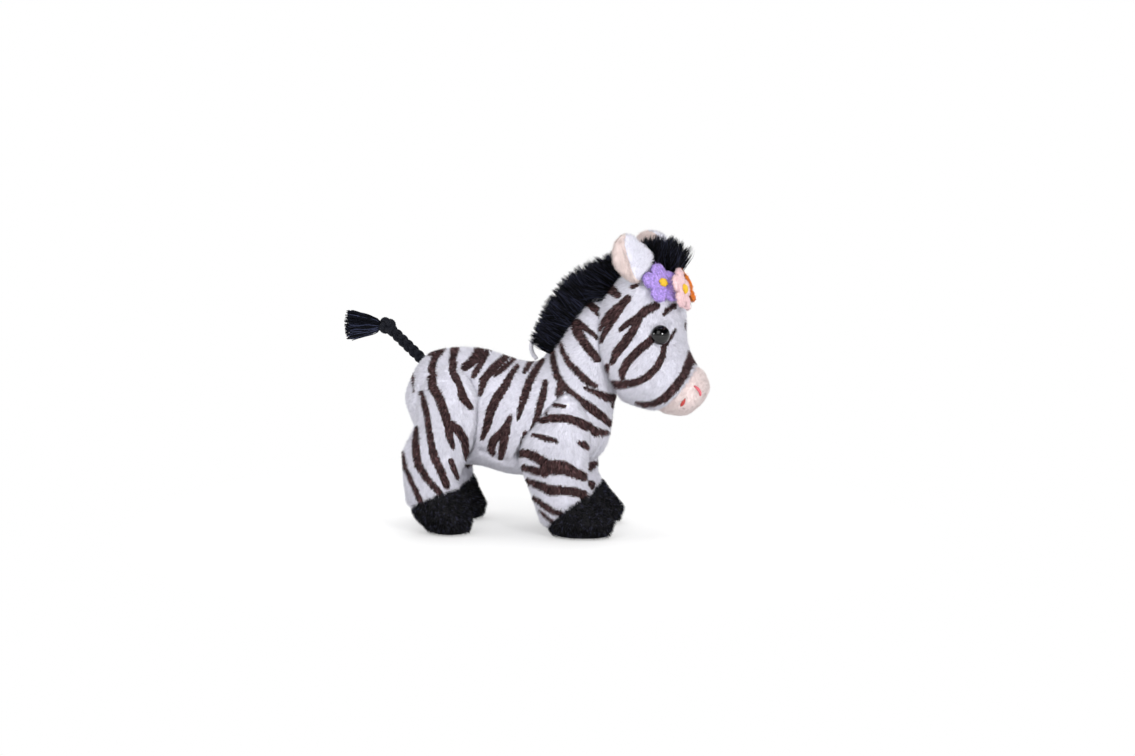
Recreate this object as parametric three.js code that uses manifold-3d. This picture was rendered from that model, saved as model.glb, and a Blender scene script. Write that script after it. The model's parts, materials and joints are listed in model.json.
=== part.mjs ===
// A small plush zebra standing on four stuffed legs, with a braided tail, a long-pile mane and felt flowers.
// Millimetres, +Z up, the nose towards +X, the animal's right side towards -Y, the soles on Z = 0.
import * as THREE from "three";
import { mergeVertices } from "three/addons/utils/BufferGeometryUtils.js";
import Module from "manifold-3d";

const wasm = await Module();
wasm.setup();

// Cloth and seams
const FABRIC = 1.2; // plush backing with its pile pressed flat
const SEAM = 0.3; // gap kept between pieces that are sewn or laid against each other
const FILL_GAP = 0.7; // between the cloth and the stuffing, which is drawn coarser

// Body: back line, belly line and half width, from the rump to the end of the neck
const BODY = [
  { upper: [-43.6, 54], lower: [-43.6, 41.5], half: 13 },
  { upper: [-35, 63.2], lower: [-32, 25], half: 17 },
  { upper: [-18, 65], lower: [-17, 23], half: 18 },
  { upper: [0, 60.4], lower: [0, 20], half: 18 },
  { upper: [8, 64], lower: [26, 27], half: 17 },
  { upper: [20.5, 81.5], lower: [31.5, 46], half: 13.5 },
  { upper: [31, 89], lower: [33.5, 56], half: 8.5 },
];
const GUSSET = [
  [-50, 9],
  [-36, 6.5],
  [-22, 6.5],
  [-6, 12.5],
  [8, 6.5],
  [20, 6],
]; // half width of the belly gusset along the body
const GUSSET_HEIGHT = 36; // how far up the flanks its cut reaches
const RUMP_GUSSET_HALF = 9;
const RUMP_GUSSET_FRONT = -37;
const RUMP_GUSSET_TOP = 56;

// Neck joint: a ball of firm stuffing, the head's resting turn and the travel left round it
const NECK_BALL = [37, 0, 70];
const NECK_BALL_RADIUS = 8;
const HEAD_TURN = 4;
const TURN_TRAVEL = 12;
const NOD_UP = 6;
const NOD_DOWN = 8;
const NECK_CLEARANCE = 0.6;

// Head: forehead line, nape and jaw line and half width, from the crown to the nose, before the resting turn
const HEAD = [
  { upper: [48.4, 98], lower: [38.5, 98], half: 10 },
  { upper: [55.8, 89.6], lower: [33.6, 91], half: 16.5 },
  { upper: [57.1, 78], lower: [27.2, 78], half: 18 },
  { upper: [57.6, 69], lower: [27, 61], half: 18.5 },
  { upper: [59.9, 62.5], lower: [34.6, 48.7], half: 16.5 },
  { upper: [63.6, 58.5], lower: [48.8, 43.9], half: 13 },
  { upper: [65.8, 53.5], lower: [57.2, 42.9], half: 11.5 },
  { upper: [65.4, 50], lower: [61.4, 44.9], half: 8 },
];
const MUZZLE_SEAM = [
  [61.6, 61],
  [47, 44.8],
]; // the seam seen from the side

// Eyes: safety eyes with a post through the cloth and a washer behind it
const EYE_DIAMETER = 7;
const EYE_DOME = 3.4;
const EYE_POST_DIAMETER = 2.4;
const EYE_POST_LENGTH = 7;
const EYE_PLACE = { along: 0.345, round: 55 };
const WASHER_DIAMETER = 8;
const WASHER_THICKNESS = 1.2;

// Felt flowers and their thread knots
const FLOWER_DIAMETER = 15;
const FELT = 1.4;
const PETALS = 5;
const KNOT_DIAMETER = 3.3;
const KNOT_HEIGHT = 2;
const FLOWER_SPACING = 3.1; // degrees round the head from flower to flower, for each millimetre of diameter
const FLOWERS = [
  { name: "purple", along: 0.138, place: -1.2, raise: 0, tilt: 0, spin: 18, colour: 0xa98fe0 },
  { name: "pink", along: 0.168, place: -0.74, raise: 3, tilt: 18, spin: 8, colour: 0xf8c8cf },
  { name: "orange", along: 0.15, place: 0.48, raise: 0, tilt: 0, spin: -10, colour: 0xe8791e },
];

// Stitches on the muzzle
const STITCH_DIAMETER = 1;
const NOSTRIL = { along: 0.81, round: 47, length: 3.6, tilt: 62 };
const MOUTH = { along: 0.78, round: 96, length: 2.4, tilt: 120 };

// Ears: edges and half thickness from the base to the tip, in the ear's own frame
const EAR = [
  { upper: [3, -2.2], lower: [-3, -2.2], half: 2.2 },
  { upper: [6, 4], lower: [-6, 4], half: 2.9 },
  { upper: [7.4, 8.6], lower: [-7.4, 8.6], half: 2.9 },
  { upper: [5.6, 13.4], lower: [-5.6, 13.4], half: 2.3 },
  { upper: [2.5, 16.4], lower: [-2.5, 16.4], half: 1.2 },
];
const EAR_ALONG = { right: 0.12, left: 0.155 }; // the left ear is sewn on lower
const EAR_ROUND = 100;
const EAR_LIFT = 2.6;
const EAR_FACING = 48; // from straight ahead towards the side
const EAR_LEAN = { right: 14, left: 8 }; // outwards
const EAR_SWEEP = 15; // backwards

// Legs: front edge, back edge, half thickness and distance from the middle, from haunch to under the floor
const REAR_LEG = [
  { upper: [-21, 61], lower: [-31, 61], half: 5, across: 14 },
  { upper: [-14, 52], lower: [-37, 52.5], half: 9.2, across: 14.4 },
  { upper: [-14.3, 40], lower: [-38, 39.5], half: 9.7, across: 14.6 },
  { upper: [-19, 28], lower: [-43, 29], half: 8.8, across: 14.6 },
  { upper: [-22.6, 19.5], lower: [-42.5, 19.5], half: 7.8, across: 14.6 },
  { upper: [-20, 11], lower: [-41.4, 11], half: 8, across: 14.6 },
  { upper: [-16.6, 4], lower: [-37.6, 4.5], half: 8, across: 14.6 },
  { upper: [-19, -3], lower: [-31, -3], half: 6.5, across: 14.6 },
];
const FRONT_LEG = [
  { upper: [19.5, 53], lower: [14, 53], half: 4, across: 13.5 },
  { upper: [24, 45.5], lower: [8.5, 45.5], half: 8, across: 14 },
  { upper: [25, 36], lower: [0.6, 36], half: 9.3, across: 14.2 },
  { upper: [24.4, 27], lower: [-1, 27], half: 8.8, across: 14.2 },
  { upper: [24, 19], lower: [2.2, 19], half: 7.8, across: 14.2 },
  { upper: [28.2, 12.5], lower: [5, 11], half: 8.2, across: 14.2 },
  { upper: [35, 4], lower: [7.2, 4], half: 8.4, across: 14.2 },
  { upper: [31, -3], lower: [13.5, -3], half: 6.5, across: 14.2 },
];
const REAR_HOOF_SEAM = [
  [-38, 11],
  [-23, 17.6],
];
const FRONT_HOOF_SEAM = [
  [9, 4],
  [24, 16.5],
];
const SOLE = 1.2; // thickness of the sole patch
const HIP_SEAT = 7; // the flat of the body that each leg is sewn against, from the middle
const SEAT_MARGIN = 1.6; // the flat reaches past the leg by this much
const REAR_HIP = [-27, 46];
const FRONT_HIP = [14, 41];
const LEG_SWING = 12;

// Hair strips
const MANE_HEIGHT = 12;
const MANE_WIDTH = 11;
const MANE_SPAN = [0.655, 0.96]; // along the back line of the body
const FORELOCK_HEIGHT = 8.5;

// Tail
const TAIL_ROOT_ALONG = 0.12; // along the back line of the body
const TAIL_RISE = 43.4; // from straight behind, upwards
const BRAID_DIAMETER = 4;
const BRAID_LENGTH = 14.2;
const TAIL_KNOT_DIAMETER = 6;
const TASSEL_LENGTH = 12.3;
const TASSEL_NECK = 3;
const TASSEL_END = 11;
const TASSEL_FLATNESS = 0.75; // width across over height

// Hang loop at the end of the mane, a cord bent round with both ends in the back seam
const CORD_DIAMETER = 1.7;
const LOOP_PLACE = 0.565; // along the back line of the body
const LOOP = [
  [0, 0.4, 0.9],
  [-1.2, 0.7, 2.2],
  [-2, 1.4, 4],
  [-2.2, 3, 5.8],
  [-1.4, 5.4, 7.6],
  [0.4, 7.2, 9.8],
  [2, 7.9, 12.2],
  [3.7, 8.2, 14.6],
  [5.4, 8.5, 15.8],
  [7, 8.4, 14.8],
  [8, 8.3, 12.4],
  [8.4, 8.2, 9.8],
  [8.3, 8.2, 7.2],
  [8, 8.4, 5.2],
];

const FILL_SIDES = 10; // stuffing has fewer sides than the cloth round it
const FAR = 130; // beyond every piece, for the solids that cut

const radians = THREE.MathUtils.degToRad;
const vector = (x, y, z) => new THREE.Vector3(x, y, z);

// Materials, one for each cloth or moulded piece
const cloth = (color, roughness = 0.95) => new THREE.MeshStandardMaterial({ color, roughness });
const STRIPED_PLUSH = cloth(0xa39c9f);
const WHITE_PLUSH = cloth(0xe4e3ee);
const BLACK_PLUSH = cloth(0x15151d);
const HAIR = cloth(0x0b0c10);
const PINK_PLUSH = cloth(0xf3dfda);
const PEACH_PLUSH = cloth(0xf6e6e0);
const FIBRE = cloth(0xf2f1ec);
const YARN = cloth(0x14161f, 0.8);
const LOOP_CORD = cloth(0xc9c8d6, 0.8);
const YELLOW_THREAD = cloth(0xf2c83c, 0.7);
const NOSE_THREAD = cloth(0xe4717d, 0.7);
const MOUTH_THREAD = cloth(0xc04c48, 0.7);
const EYE_PLASTIC = cloth(0x050506, 0.08);
const WASHER_PLASTIC = cloth(0xdcdcda, 0.5);

// The bare shape of a geometry, each corner held once
function welded(geometry) {
  const bare = new THREE.BufferGeometry();
  bare.setAttribute("position", geometry.getAttribute("position").clone());
  if (geometry.index) bare.setIndex(geometry.index.clone());
  return mergeVertices(bare, 1e-4);
}

// A closed surface as a solid that can be joined and cut
function solid(geometry) {
  const shape = welded(geometry);
  return new wasm.Manifold(
    new wasm.Mesh({
      numProp: 3,
      vertProperties: new Float32Array(shape.getAttribute("position").array),
      triVerts: new Uint32Array(shape.index.array),
    }),
  );
}

// A solid as drawable geometry
function drawn(body) {
  const mesh = body.getMesh();
  const geometry = new THREE.BufferGeometry();
  const corners = new Float32Array(mesh.vertProperties);
  geometry.setAttribute("position", new THREE.BufferAttribute(corners, 3));
  geometry.setIndex(new THREE.BufferAttribute(new Uint32Array(mesh.triVerts), 1));
  geometry.computeVertexNormals();
  return geometry;
}

// A smooth surface moved along its own normals, outwards if the distance is positive
function grown(geometry, distance) {
  const moved = welded(geometry);
  moved.computeVertexNormals();
  const position = moved.getAttribute("position");
  const normal = moved.getAttribute("normal");
  for (let i = 0; i < position.count; i++) {
    position.setXYZ(
      i,
      position.getX(i) + normal.getX(i) * distance,
      position.getY(i) + normal.getY(i) * distance,
      position.getZ(i) + normal.getZ(i) * distance,
    );
  }
  return moved;
}

// A box between two corners, for cutting
function block(low, high) {
  const size = vector(...high).sub(vector(...low));
  const middle = vector(...low).add(vector(...high)).multiplyScalar(0.5);
  return new THREE.BoxGeometry(size.x, size.y, size.z).translate(middle.x, middle.y, middle.z);
}

// Everything on one side of the middle seam
function half(sign) {
  const near = (sign * SEAM) / 2;
  const far = sign * FAR;
  return solid(block([-FAR, Math.min(near, far), -FAR], [FAR, Math.max(near, far), FAR]));
}

// An outline in the X-Z plane drawn out across the body from one Y to another
function prism(points, from, to) {
  const shape = new THREE.Shape(points.map(([x, z]) => new THREE.Vector2(x, z)));
  const geometry = new THREE.ExtrudeGeometry(shape, { depth: to - from, bevelEnabled: false });
  return geometry.rotateX(Math.PI / 2).translate(0, to, 0);
}

// Everything on the right of a line in the X-Z plane that runs from one point to another
function beyondLine([[x1, z1], [x2, z2]], gap) {
  const along = new THREE.Vector2(x2 - x1, z2 - z1).normalize();
  const right = new THREE.Vector2(along.y, -along.x);
  const reach = FAR;
  const corner = (u, v) => [x1 + along.x * u + right.x * v, z1 + along.y * u + right.y * v];
  const half = [corner(-reach, gap), corner(-reach, reach), corner(reach, reach), corner(reach, gap)];
  return prism(half, -FAR, FAR);
}

// A stuffed form between two edge lines in the X-Z plane. Each section holds a point of either edge, the half
// width across and how far across its middle lies. The two ends draw in to a point, as stuffed cloth does.
class Form {
  constructor(sections, rings, sides, bluntness) {
    this.rings = rings;
    this.sides = sides;
    this.bluntness = bluntness;
    const curve = (points) => new THREE.CatmullRomCurve3(points, false, "catmullrom");
    this.upper = curve(sections.map((s) => vector(s.upper[0], 0, s.upper[1])));
    this.lower = curve(sections.map((s) => vector(s.lower[0], 0, s.lower[1])));
    this.width = curve(sections.map((s) => vector(s.half, s.across ?? 0, 0)));
  }

  // A point of the surface; round is 0 on the upper edge, 90 towards +Y and 180 on the lower edge, in degrees
  point(along, round) {
    const upper = this.upper.getPoint(along);
    const lower = this.lower.getPoint(along);
    const width = this.width.getPoint(along);
    const drawn = Math.sqrt(Math.max(0, 1 - Math.abs(2 * along - 1) ** this.bluntness));
    const axis = upper.clone().sub(lower).multiplyScalar(0.5 * drawn * Math.cos(radians(round)));
    const middle = upper.add(lower).multiplyScalar(0.5).setY(width.y);
    return middle.add(axis).add(vector(0, width.x * drawn * Math.sin(radians(round)), 0));
  }

  // The outward direction there
  normal(along, round) {
    const step = 0.004;
    const forward = this.point(along + step, round).sub(this.point(along - step, round));
    const turn = this.point(along, round + 1).sub(this.point(along, round - 1));
    const out = forward.cross(turn).normalize();
    const middle = this.point(along, round).add(this.point(along, round + 180)).multiplyScalar(0.5);
    return out.dot(this.point(along, round).sub(middle)) < 0 ? out.negate() : out;
  }

  geometry(rings = this.rings, sides = this.sides) {
    const points = [this.point(0, 0)];
    for (let ring = 1; ring < rings; ring++) {
      const along = (1 - Math.cos((Math.PI * ring) / rings)) / 2;
      for (let side = 0; side < sides; side++) points.push(this.point(along, (360 * side) / sides));
    }
    points.push(this.point(1, 0));
    const at = (ring, side) => 1 + ring * sides + (side % sides);
    const last = points.length - 1;
    const faces = [];
    for (let side = 0; side < sides; side++) {
      faces.push([0, at(0, side), at(0, side + 1)]);
      for (let ring = 0; ring < rings - 2; ring++) {
        faces.push([at(ring, side), at(ring + 1, side), at(ring + 1, side + 1)]);
        faces.push([at(ring, side), at(ring + 1, side + 1), at(ring, side + 1)]);
      }
      faces.push([last, at(rings - 2, side + 1), at(rings - 2, side)]);
    }
    const part = ([a, b, c]) => points[a].dot(points[b].clone().cross(points[c]));
    const volume = faces.reduce((sum, face) => sum + part(face), 0);
    const facing = volume > 0 ? faces : faces.map(([a, b, c]) => [a, c, b]);
    const geometry = new THREE.BufferGeometry().setFromPoints(points);
    geometry.setIndex(facing.flat());
    return geometry;
  }

  // The side view of the form, widened all round
  outline(margin) {
    const steps = 10;
    const stretch = (from, to) => {
      const out = from.clone().sub(to).normalize().multiplyScalar(margin);
      return [from.x + out.x, from.z + out.z];
    };
    const edge = (round) =>
      Array.from({ length: steps - 1 }, (_, i) => {
        const along = (1 - Math.cos((Math.PI * (i + 1)) / steps)) / 2;
        return stretch(this.point(along, round), this.point(along, 180 - round));
      });
    const top = stretch(this.point(0, 0), this.point(0.1, 90));
    const foot = stretch(this.point(1, 0), this.point(0.9, 90));
    return [top, ...edge(0), foot, ...edge(180).reverse()];
  }
}

const zebra = new THREE.Group();
zebra.name = "plush_zebra";

function add(group, name, body, material) {
  const mesh = new THREE.Mesh(body.isBufferGeometry ? body : drawn(body), material);
  mesh.name = name;
  group.add(mesh);
  return mesh;
}

// Body
const body = new Form(BODY, 12, 14, 10);
const bodyOuter = body.geometry();
const rearLeg = new Form(REAR_LEG, 11, 12, 8);
const frontLeg = new Form(FRONT_LEG, 11, 12, 8);
const SIDES = [
  { name: "right", sign: -1 },
  { name: "left", sign: 1 },
];
const LEGS = [
  { name: "rear", form: rearLeg, hip: REAR_HIP, seam: REAR_HOOF_SEAM },
  { name: "front", form: frontLeg, hip: FRONT_HIP, seam: FRONT_HOOF_SEAM },
];

// The room that a leg sweeps beside the body, widened by a margin
function seat({ form, hip }, sign, margin) {
  const flat = HIP_SEAT - margin;
  const outline = form.outline(SEAT_MARGIN + margin);
  return [-LEG_SWING, 0, LEG_SWING]
    .map((swing) => {
      const swept = sign > 0 ? prism(outline, flat, FAR) : prism(outline, -FAR, -flat);
      return solid(swept.translate(-hip[0], 0, -hip[1]).rotateY(radians(swing)).translate(hip[0], 0, hip[1]));
    })
    .reduce((all, one) => all.add(one));
}

// The body's form moved inwards, with the flats that the legs lie against moved in as well
function bodyLayer(shape, inset) {
  return LEGS.flatMap((leg) => SIDES.map((side) => seat(leg, side.sign, inset))).reduce(
    (left, cut) => left.subtract(cut),
    solid(grown(shape, -inset)),
  );
}

const neckBall = new THREE.SphereGeometry(NECK_BALL_RADIUS, 14, 8).translate(...NECK_BALL);
const neckSocket = solid(grown(neckBall, SEAM));
const bodySkin = bodyLayer(bodyOuter, 0).subtract(bodyLayer(bodyOuter, FABRIC)).subtract(neckSocket);

// The gusset's plan, drawn up to the height where its cut ends, and the strip that goes on up the rump
function gussetRoom(margin) {
  const edge = GUSSET.map(([x, half]) => new THREE.Vector2(x, half + margin));
  const front = GUSSET[GUSSET.length - 1];
  edge[edge.length - 1].x = front[0] + margin;
  const plan = [...edge, ...edge.map((p) => new THREE.Vector2(p.x, -p.y)).reverse()];
  const depth = GUSSET_HEIGHT + margin;
  const belly = new THREE.ExtrudeGeometry(new THREE.Shape(plan), { depth, bevelEnabled: false });
  const half = RUMP_GUSSET_HALF + margin;
  const rump = block([-FAR, -half, 0], [RUMP_GUSSET_FRONT + margin, half, RUMP_GUSSET_TOP + margin]);
  return solid(belly).add(solid(rump));
}

const torso = new THREE.Group();
zebra.add(torso);
const panels = bodySkin.subtract(gussetRoom(SEAM));
add(torso, "belly_gusset", bodySkin.intersect(gussetRoom(0)), WHITE_PLUSH);
for (const { name, sign } of SIDES) {
  add(torso, `body_panel_${name}`, panels.intersect(half(sign)), STRIPED_PLUSH);
}
const bodyFill = bodyLayer(body.geometry(body.rings, FILL_SIDES), FABRIC + FILL_GAP);
add(torso, "body_stuffing", bodyFill.subtract(neckSocket), FIBRE);

// Neck wad, the ball that the head turns and nods on
add(zebra, "neck_wad", neckBall, FIBRE);

// Head, built unturned about the neck ball
const head = new THREE.Group();
head.position.set(...NECK_BALL);
head.rotation.z = -radians(HEAD_TURN);
zebra.add(head);
const headForm = new Form(
  HEAD.map(({ upper, lower, half }) => ({
    upper: [upper[0] - NECK_BALL[0], upper[1] - NECK_BALL[2]],
    lower: [lower[0] - NECK_BALL[0], lower[1] - NECK_BALL[2]],
    half,
  })),
  13,
  14,
  8,
);
const headOuter = headForm.geometry();

// Where the head stands at rest and at the corners of its travel
const headPoses = [
  [0, 0],
  ...[-TURN_TRAVEL, TURN_TRAVEL].flatMap((turn) => [-NOD_UP, NOD_DOWN].map((nod) => [turn, nod])),
].map(([turn, nod]) =>
  new THREE.Matrix4()
    .makeTranslation(...NECK_BALL)
    .multiply(new THREE.Matrix4().makeRotationZ(radians(turn - HEAD_TURN)))
    .multiply(new THREE.Matrix4().makeRotationY(radians(nod))),
);
const neckRoom = headPoses
  .map((pose) => solid(grown(bodyOuter, NECK_CLEARANCE).applyMatrix4(pose.clone().invert())))
  .reduce((all, one) => all.add(one));
const headSocket = solid(new THREE.SphereGeometry(NECK_BALL_RADIUS + SEAM, 14, 8));

// Eyes: a frame on the head with its Z axis out of the cloth
function standing(form, { along, round }, lift, spin, tilt = 0) {
  const out = form.normal(along, round);
  const frame = new THREE.Object3D();
  frame.position.copy(form.point(along, round)).addScaledVector(out, lift);
  const up = vector(0, 0, 1).addScaledVector(out, -out.z).normalize();
  const side = up.clone().cross(out);
  frame.setRotationFromMatrix(new THREE.Matrix4().makeBasis(side, up, out));
  frame.rotateY(radians(tilt));
  frame.rotateZ(radians(spin));
  frame.updateMatrix();
  return frame.matrix;
}

const eyeRadius = EYE_DIAMETER / 2;
const postRadius = EYE_POST_DIAMETER / 2;
const domePoints = Array.from({ length: 6 }, (_, i) => {
  const angle = (Math.PI / 2) * (i / 5);
  return new THREE.Vector2(eyeRadius * Math.cos(angle), EYE_DOME * Math.sin(angle));
});
domePoints[5].x = 0;
const eyeProfile = [
  new THREE.Vector2(0, -EYE_POST_LENGTH),
  new THREE.Vector2(postRadius, -EYE_POST_LENGTH),
  new THREE.Vector2(postRadius, 0),
  ...domePoints,
];
const lathe = (profile, sides) => new THREE.LatheGeometry(profile, sides).rotateX(Math.PI / 2);
const eye = lathe(eyeProfile, 16);
const washerBore = postRadius + SEAM;
const washerTop = -FABRIC - 5 * SEAM;
const washer = lathe(
  [
    new THREE.Vector2(washerBore, washerTop - WASHER_THICKNESS),
    new THREE.Vector2(WASHER_DIAMETER / 2, washerTop - WASHER_THICKNESS),
    new THREE.Vector2(WASHER_DIAMETER / 2, washerTop),
    new THREE.Vector2(washerBore, washerTop),
    new THREE.Vector2(washerBore, washerTop - WASHER_THICKNESS),
  ],
  16,
);
const hole = (radius, depth) => new THREE.CylinderGeometry(radius, radius, depth, 10).rotateX(Math.PI / 2);
const eyeFrames = SIDES.map(({ name, sign }) => ({
  name,
  matrix: standing(headForm, { along: EYE_PLACE.along, round: sign * EYE_PLACE.round }, SEAM, 0),
}));
const postHoles = eyeFrames.map(({ matrix }) =>
  solid(hole(postRadius + SEAM, 3 * EYE_POST_LENGTH).applyMatrix4(matrix)),
);
const washerRooms = eyeFrames.map(({ matrix }) =>
  solid(hole(WASHER_DIAMETER / 2 + SEAM, 2 * EYE_POST_LENGTH + 2 * SEAM).applyMatrix4(matrix)),
);

const headShell = solid(headOuter).subtract(solid(grown(headOuter, -FABRIC))).subtract(neckRoom);
const headSkin = postHoles.reduce((left, cut) => left.subtract(cut), headShell);
const aboutBall = ([x, z]) => [x - NECK_BALL[0], z - NECK_BALL[2]];
const muzzleLine = [aboutBall(MUZZLE_SEAM[1]), aboutBall(MUZZLE_SEAM[0])];
add(head, "muzzle", headSkin.intersect(solid(beyondLine(muzzleLine, SEAM / 2))), PINK_PLUSH);
const headPanels = headSkin.subtract(solid(beyondLine(muzzleLine, -SEAM / 2)));
for (const { name, sign } of SIDES) {
  add(head, `head_panel_${name}`, headPanels.intersect(half(sign)), STRIPED_PLUSH);
}
const headFill = solid(grown(headForm.geometry(headForm.rings, FILL_SIDES), -FABRIC - FILL_GAP))
  .subtract(neckRoom)
  .subtract(headSocket);
add(head, "head_stuffing", washerRooms.reduce((left, cut) => left.subtract(cut), headFill), FIBRE);
for (const { name, matrix } of eyeFrames) {
  add(head, `eye_${name}`, eye.clone().applyMatrix4(matrix), EYE_PLASTIC);
  add(head, `eye_washer_${name}`, washer.clone().applyMatrix4(matrix), WASHER_PLASTIC);
}

// Flowers: round petals about a middle, and a thread knot on each
const petalRadius = 0.19 * FLOWER_DIAMETER;
const petalPlace = FLOWER_DIAMETER / 2 - petalRadius;
const flowerShape = new THREE.Shape();
const petalStep = (2 * Math.PI) / PETALS;
const notch = Math.acos((petalPlace * Math.sin(petalStep / 2)) / petalRadius);
for (let petal = 0; petal < PETALS; petal++) {
  const angle = petal * petalStep;
  const reach = Math.PI / 2 + petalStep / 2 - notch;
  flowerShape.absarc(
    petalPlace * Math.cos(angle),
    petalPlace * Math.sin(angle),
    petalRadius,
    angle - reach,
    angle + reach,
    false,
  );
}
const flower = new THREE.ExtrudeGeometry(flowerShape, { depth: FELT, bevelEnabled: false, curveSegments: 4 });
const knot = new THREE.SphereGeometry(KNOT_DIAMETER / 2, 10, 6)
  .scale(1, 1, KNOT_HEIGHT / KNOT_DIAMETER)
  .translate(0, 0, FELT + SEAM + KNOT_HEIGHT / 2);
for (const { name, along, place, raise, tilt, spin, colour } of FLOWERS) {
  const round = place * FLOWER_SPACING * FLOWER_DIAMETER;
  const matrix = standing(headForm, { along, round }, SEAM + raise, spin, tilt);
  add(head, `flower_${name}`, flower.clone().applyMatrix4(matrix), cloth(colour));
  add(head, `flower_knot_${name}`, knot.clone().applyMatrix4(matrix), YELLOW_THREAD);
}

// Nostril and mouth stitches, short satin bars on the muzzle
const stitchRadius = STITCH_DIAMETER / 2;
function stitch({ along, round, length, tilt }, sign) {
  const bar = new THREE.CapsuleGeometry(stitchRadius, length - STITCH_DIAMETER, 3, 6);
  const place = { along, round: sign * round };
  return bar.applyMatrix4(standing(headForm, place, stitchRadius + SEAM, sign * (tilt - 90)));
}
for (const { name, sign } of SIDES) {
  add(head, `nostril_stitch_${name}`, stitch(NOSTRIL, sign), NOSE_THREAD);
  add(head, `mouth_stitch_${name}`, stitch(MOUTH, sign), MOUTH_THREAD);
}

// Ears: two layers with a seam round the edge, each turning about a line through its base
const earForm = new Form(EAR, 10, 12, 6);
const earSolid = solid(earForm.geometry());
const earLayers = {
  front: earSolid.subtract(solid(block([-FAR, -FAR, -FAR], [FAR, SEAM / 2, FAR]))),
  back: earSolid.subtract(solid(block([-FAR, -SEAM / 2, -FAR], [FAR, FAR, FAR]))),
};
for (const { name, sign } of SIDES) {
  const place = [EAR_ALONG[name], sign * EAR_ROUND];
  const ear = new THREE.Group();
  ear.position.copy(headForm.point(...place));
  ear.position.addScaledVector(headForm.normal(...place), EAR_LIFT);
  ear.rotation.set(0, 0, radians(-90 + sign * EAR_FACING));
  ear.rotateOnWorldAxis(vector(1, 0, 0), -sign * radians(EAR_LEAN[name]));
  ear.rotateOnWorldAxis(vector(0, 1, 0), -radians(EAR_SWEEP));
  head.add(ear);
  add(ear, `ear_front_${name}`, earLayers.front, WHITE_PLUSH);
  add(ear, `ear_back_${name}`, earLayers.back, PEACH_PLUSH);
}

// Mane: a long-pile strip along the neck, cut by the body and by the head wherever the head can stand
const maneSteps = [0, 0.25, 0.5, 0.75, 1];
const maneForm = new Form(
  maneSteps.map((step) => {
    const along = THREE.MathUtils.lerp(...MANE_SPAN, step);
    const base = body.point(along, 0);
    const out = body.normal(along, 0);
    const tip = base.clone().addScaledVector(out, MANE_HEIGHT);
    const root = base.clone().addScaledVector(out, -3);
    return { upper: [tip.x, tip.z], lower: [root.x, root.z], half: MANE_WIDTH / 2 };
  }),
  12,
  12,
  6,
);

// Forelock: the same strip over the crown, from behind the ears to the forehead
const crownPlaces = [
  { along: 0.15, round: 180, half: 5 },
  { along: 0.06, round: 180, half: 5.5 },
  { along: 0.015, round: 180, half: 5.5 },
  { along: 0.015, round: 0, half: 5.5 },
  { along: 0.04, round: 0, half: 5 },
  { along: 0.07, round: 0, half: 3.5 },
];
const crownMiddle = headForm.point(0.3, 0).add(headForm.point(0.3, 180)).multiplyScalar(0.5);
const forelockForm = new Form(
  crownPlaces.map(({ along, round, half }) => {
    const base = headForm.point(along, round);
    const out = base.clone().sub(crownMiddle).normalize();
    const tip = base.clone().addScaledVector(out, FORELOCK_HEIGHT);
    const root = base.clone().addScaledVector(out, -3);
    return { upper: [tip.x, tip.z], lower: [root.x, root.z], half };
  }),
  12,
  12,
  6,
);
const forelock = solid(forelockForm.geometry()).subtract(solid(grown(headOuter, SEAM)));
const headRoom = headPoses
  .map((pose) => solid(grown(headOuter, NECK_CLEARANCE).applyMatrix4(pose)))
  .reduce((all, one) => all.add(one));
const forelockRoom = headPoses
  .map((pose) => solid(grown(forelockForm.geometry(), NECK_CLEARANCE).applyMatrix4(pose)))
  .reduce((all, one) => all.add(one));
const mane = solid(maneForm.geometry())
  .subtract(solid(grown(bodyOuter, SEAM)))
  .subtract(headRoom)
  .subtract(forelockRoom);
add(torso, "mane", mane, HAIR);
add(head, "forelock", forelock, HAIR);

// Legs: skin, hoof, sole and stuffing, the left ones mirrored from the right
for (const { name: end, form, seam } of LEGS) {
  const outer = form.geometry();
  const layer = (shape, inset, floor) =>
    solid(grown(shape, -inset)).intersect(
      solid(block([-FAR, HIP_SEAT + SEAM + inset, floor], [FAR, FAR, FAR])),
    );
  const whole = layer(outer, 0, 0);
  const skin = whole.subtract(layer(outer, FABRIC, -FAR));
  const above = solid(block([-FAR, -FAR, SOLE + SEAM], [FAR, FAR, FAR]));
  const below = solid(block([-FAR, -FAR, -FAR], [FAR, FAR, SOLE]));
  const hoofRoom = solid(beyondLine(seam, SEAM / 2));
  const legRoom = solid(beyondLine([seam[1], seam[0]], SEAM / 2));
  const pieces = {
    skin: [skin.intersect(legRoom), STRIPED_PLUSH],
    hoof: [skin.intersect(hoofRoom).intersect(above), BLACK_PLUSH],
    sole: [whole.intersect(below), BLACK_PLUSH],
    stuffing: [layer(form.geometry(form.rings, FILL_SIDES), FABRIC + FILL_GAP, SOLE + SEAM), FIBRE],
  };
  for (const { name: side, sign } of SIDES) {
    const leg = new THREE.Group();
    leg.scale.y = sign;
    zebra.add(leg);
    for (const [kind, [piece, material]] of Object.entries(pieces)) {
      add(leg, `${end}_${side}_${kind}`, piece, material);
    }
  }
}

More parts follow.
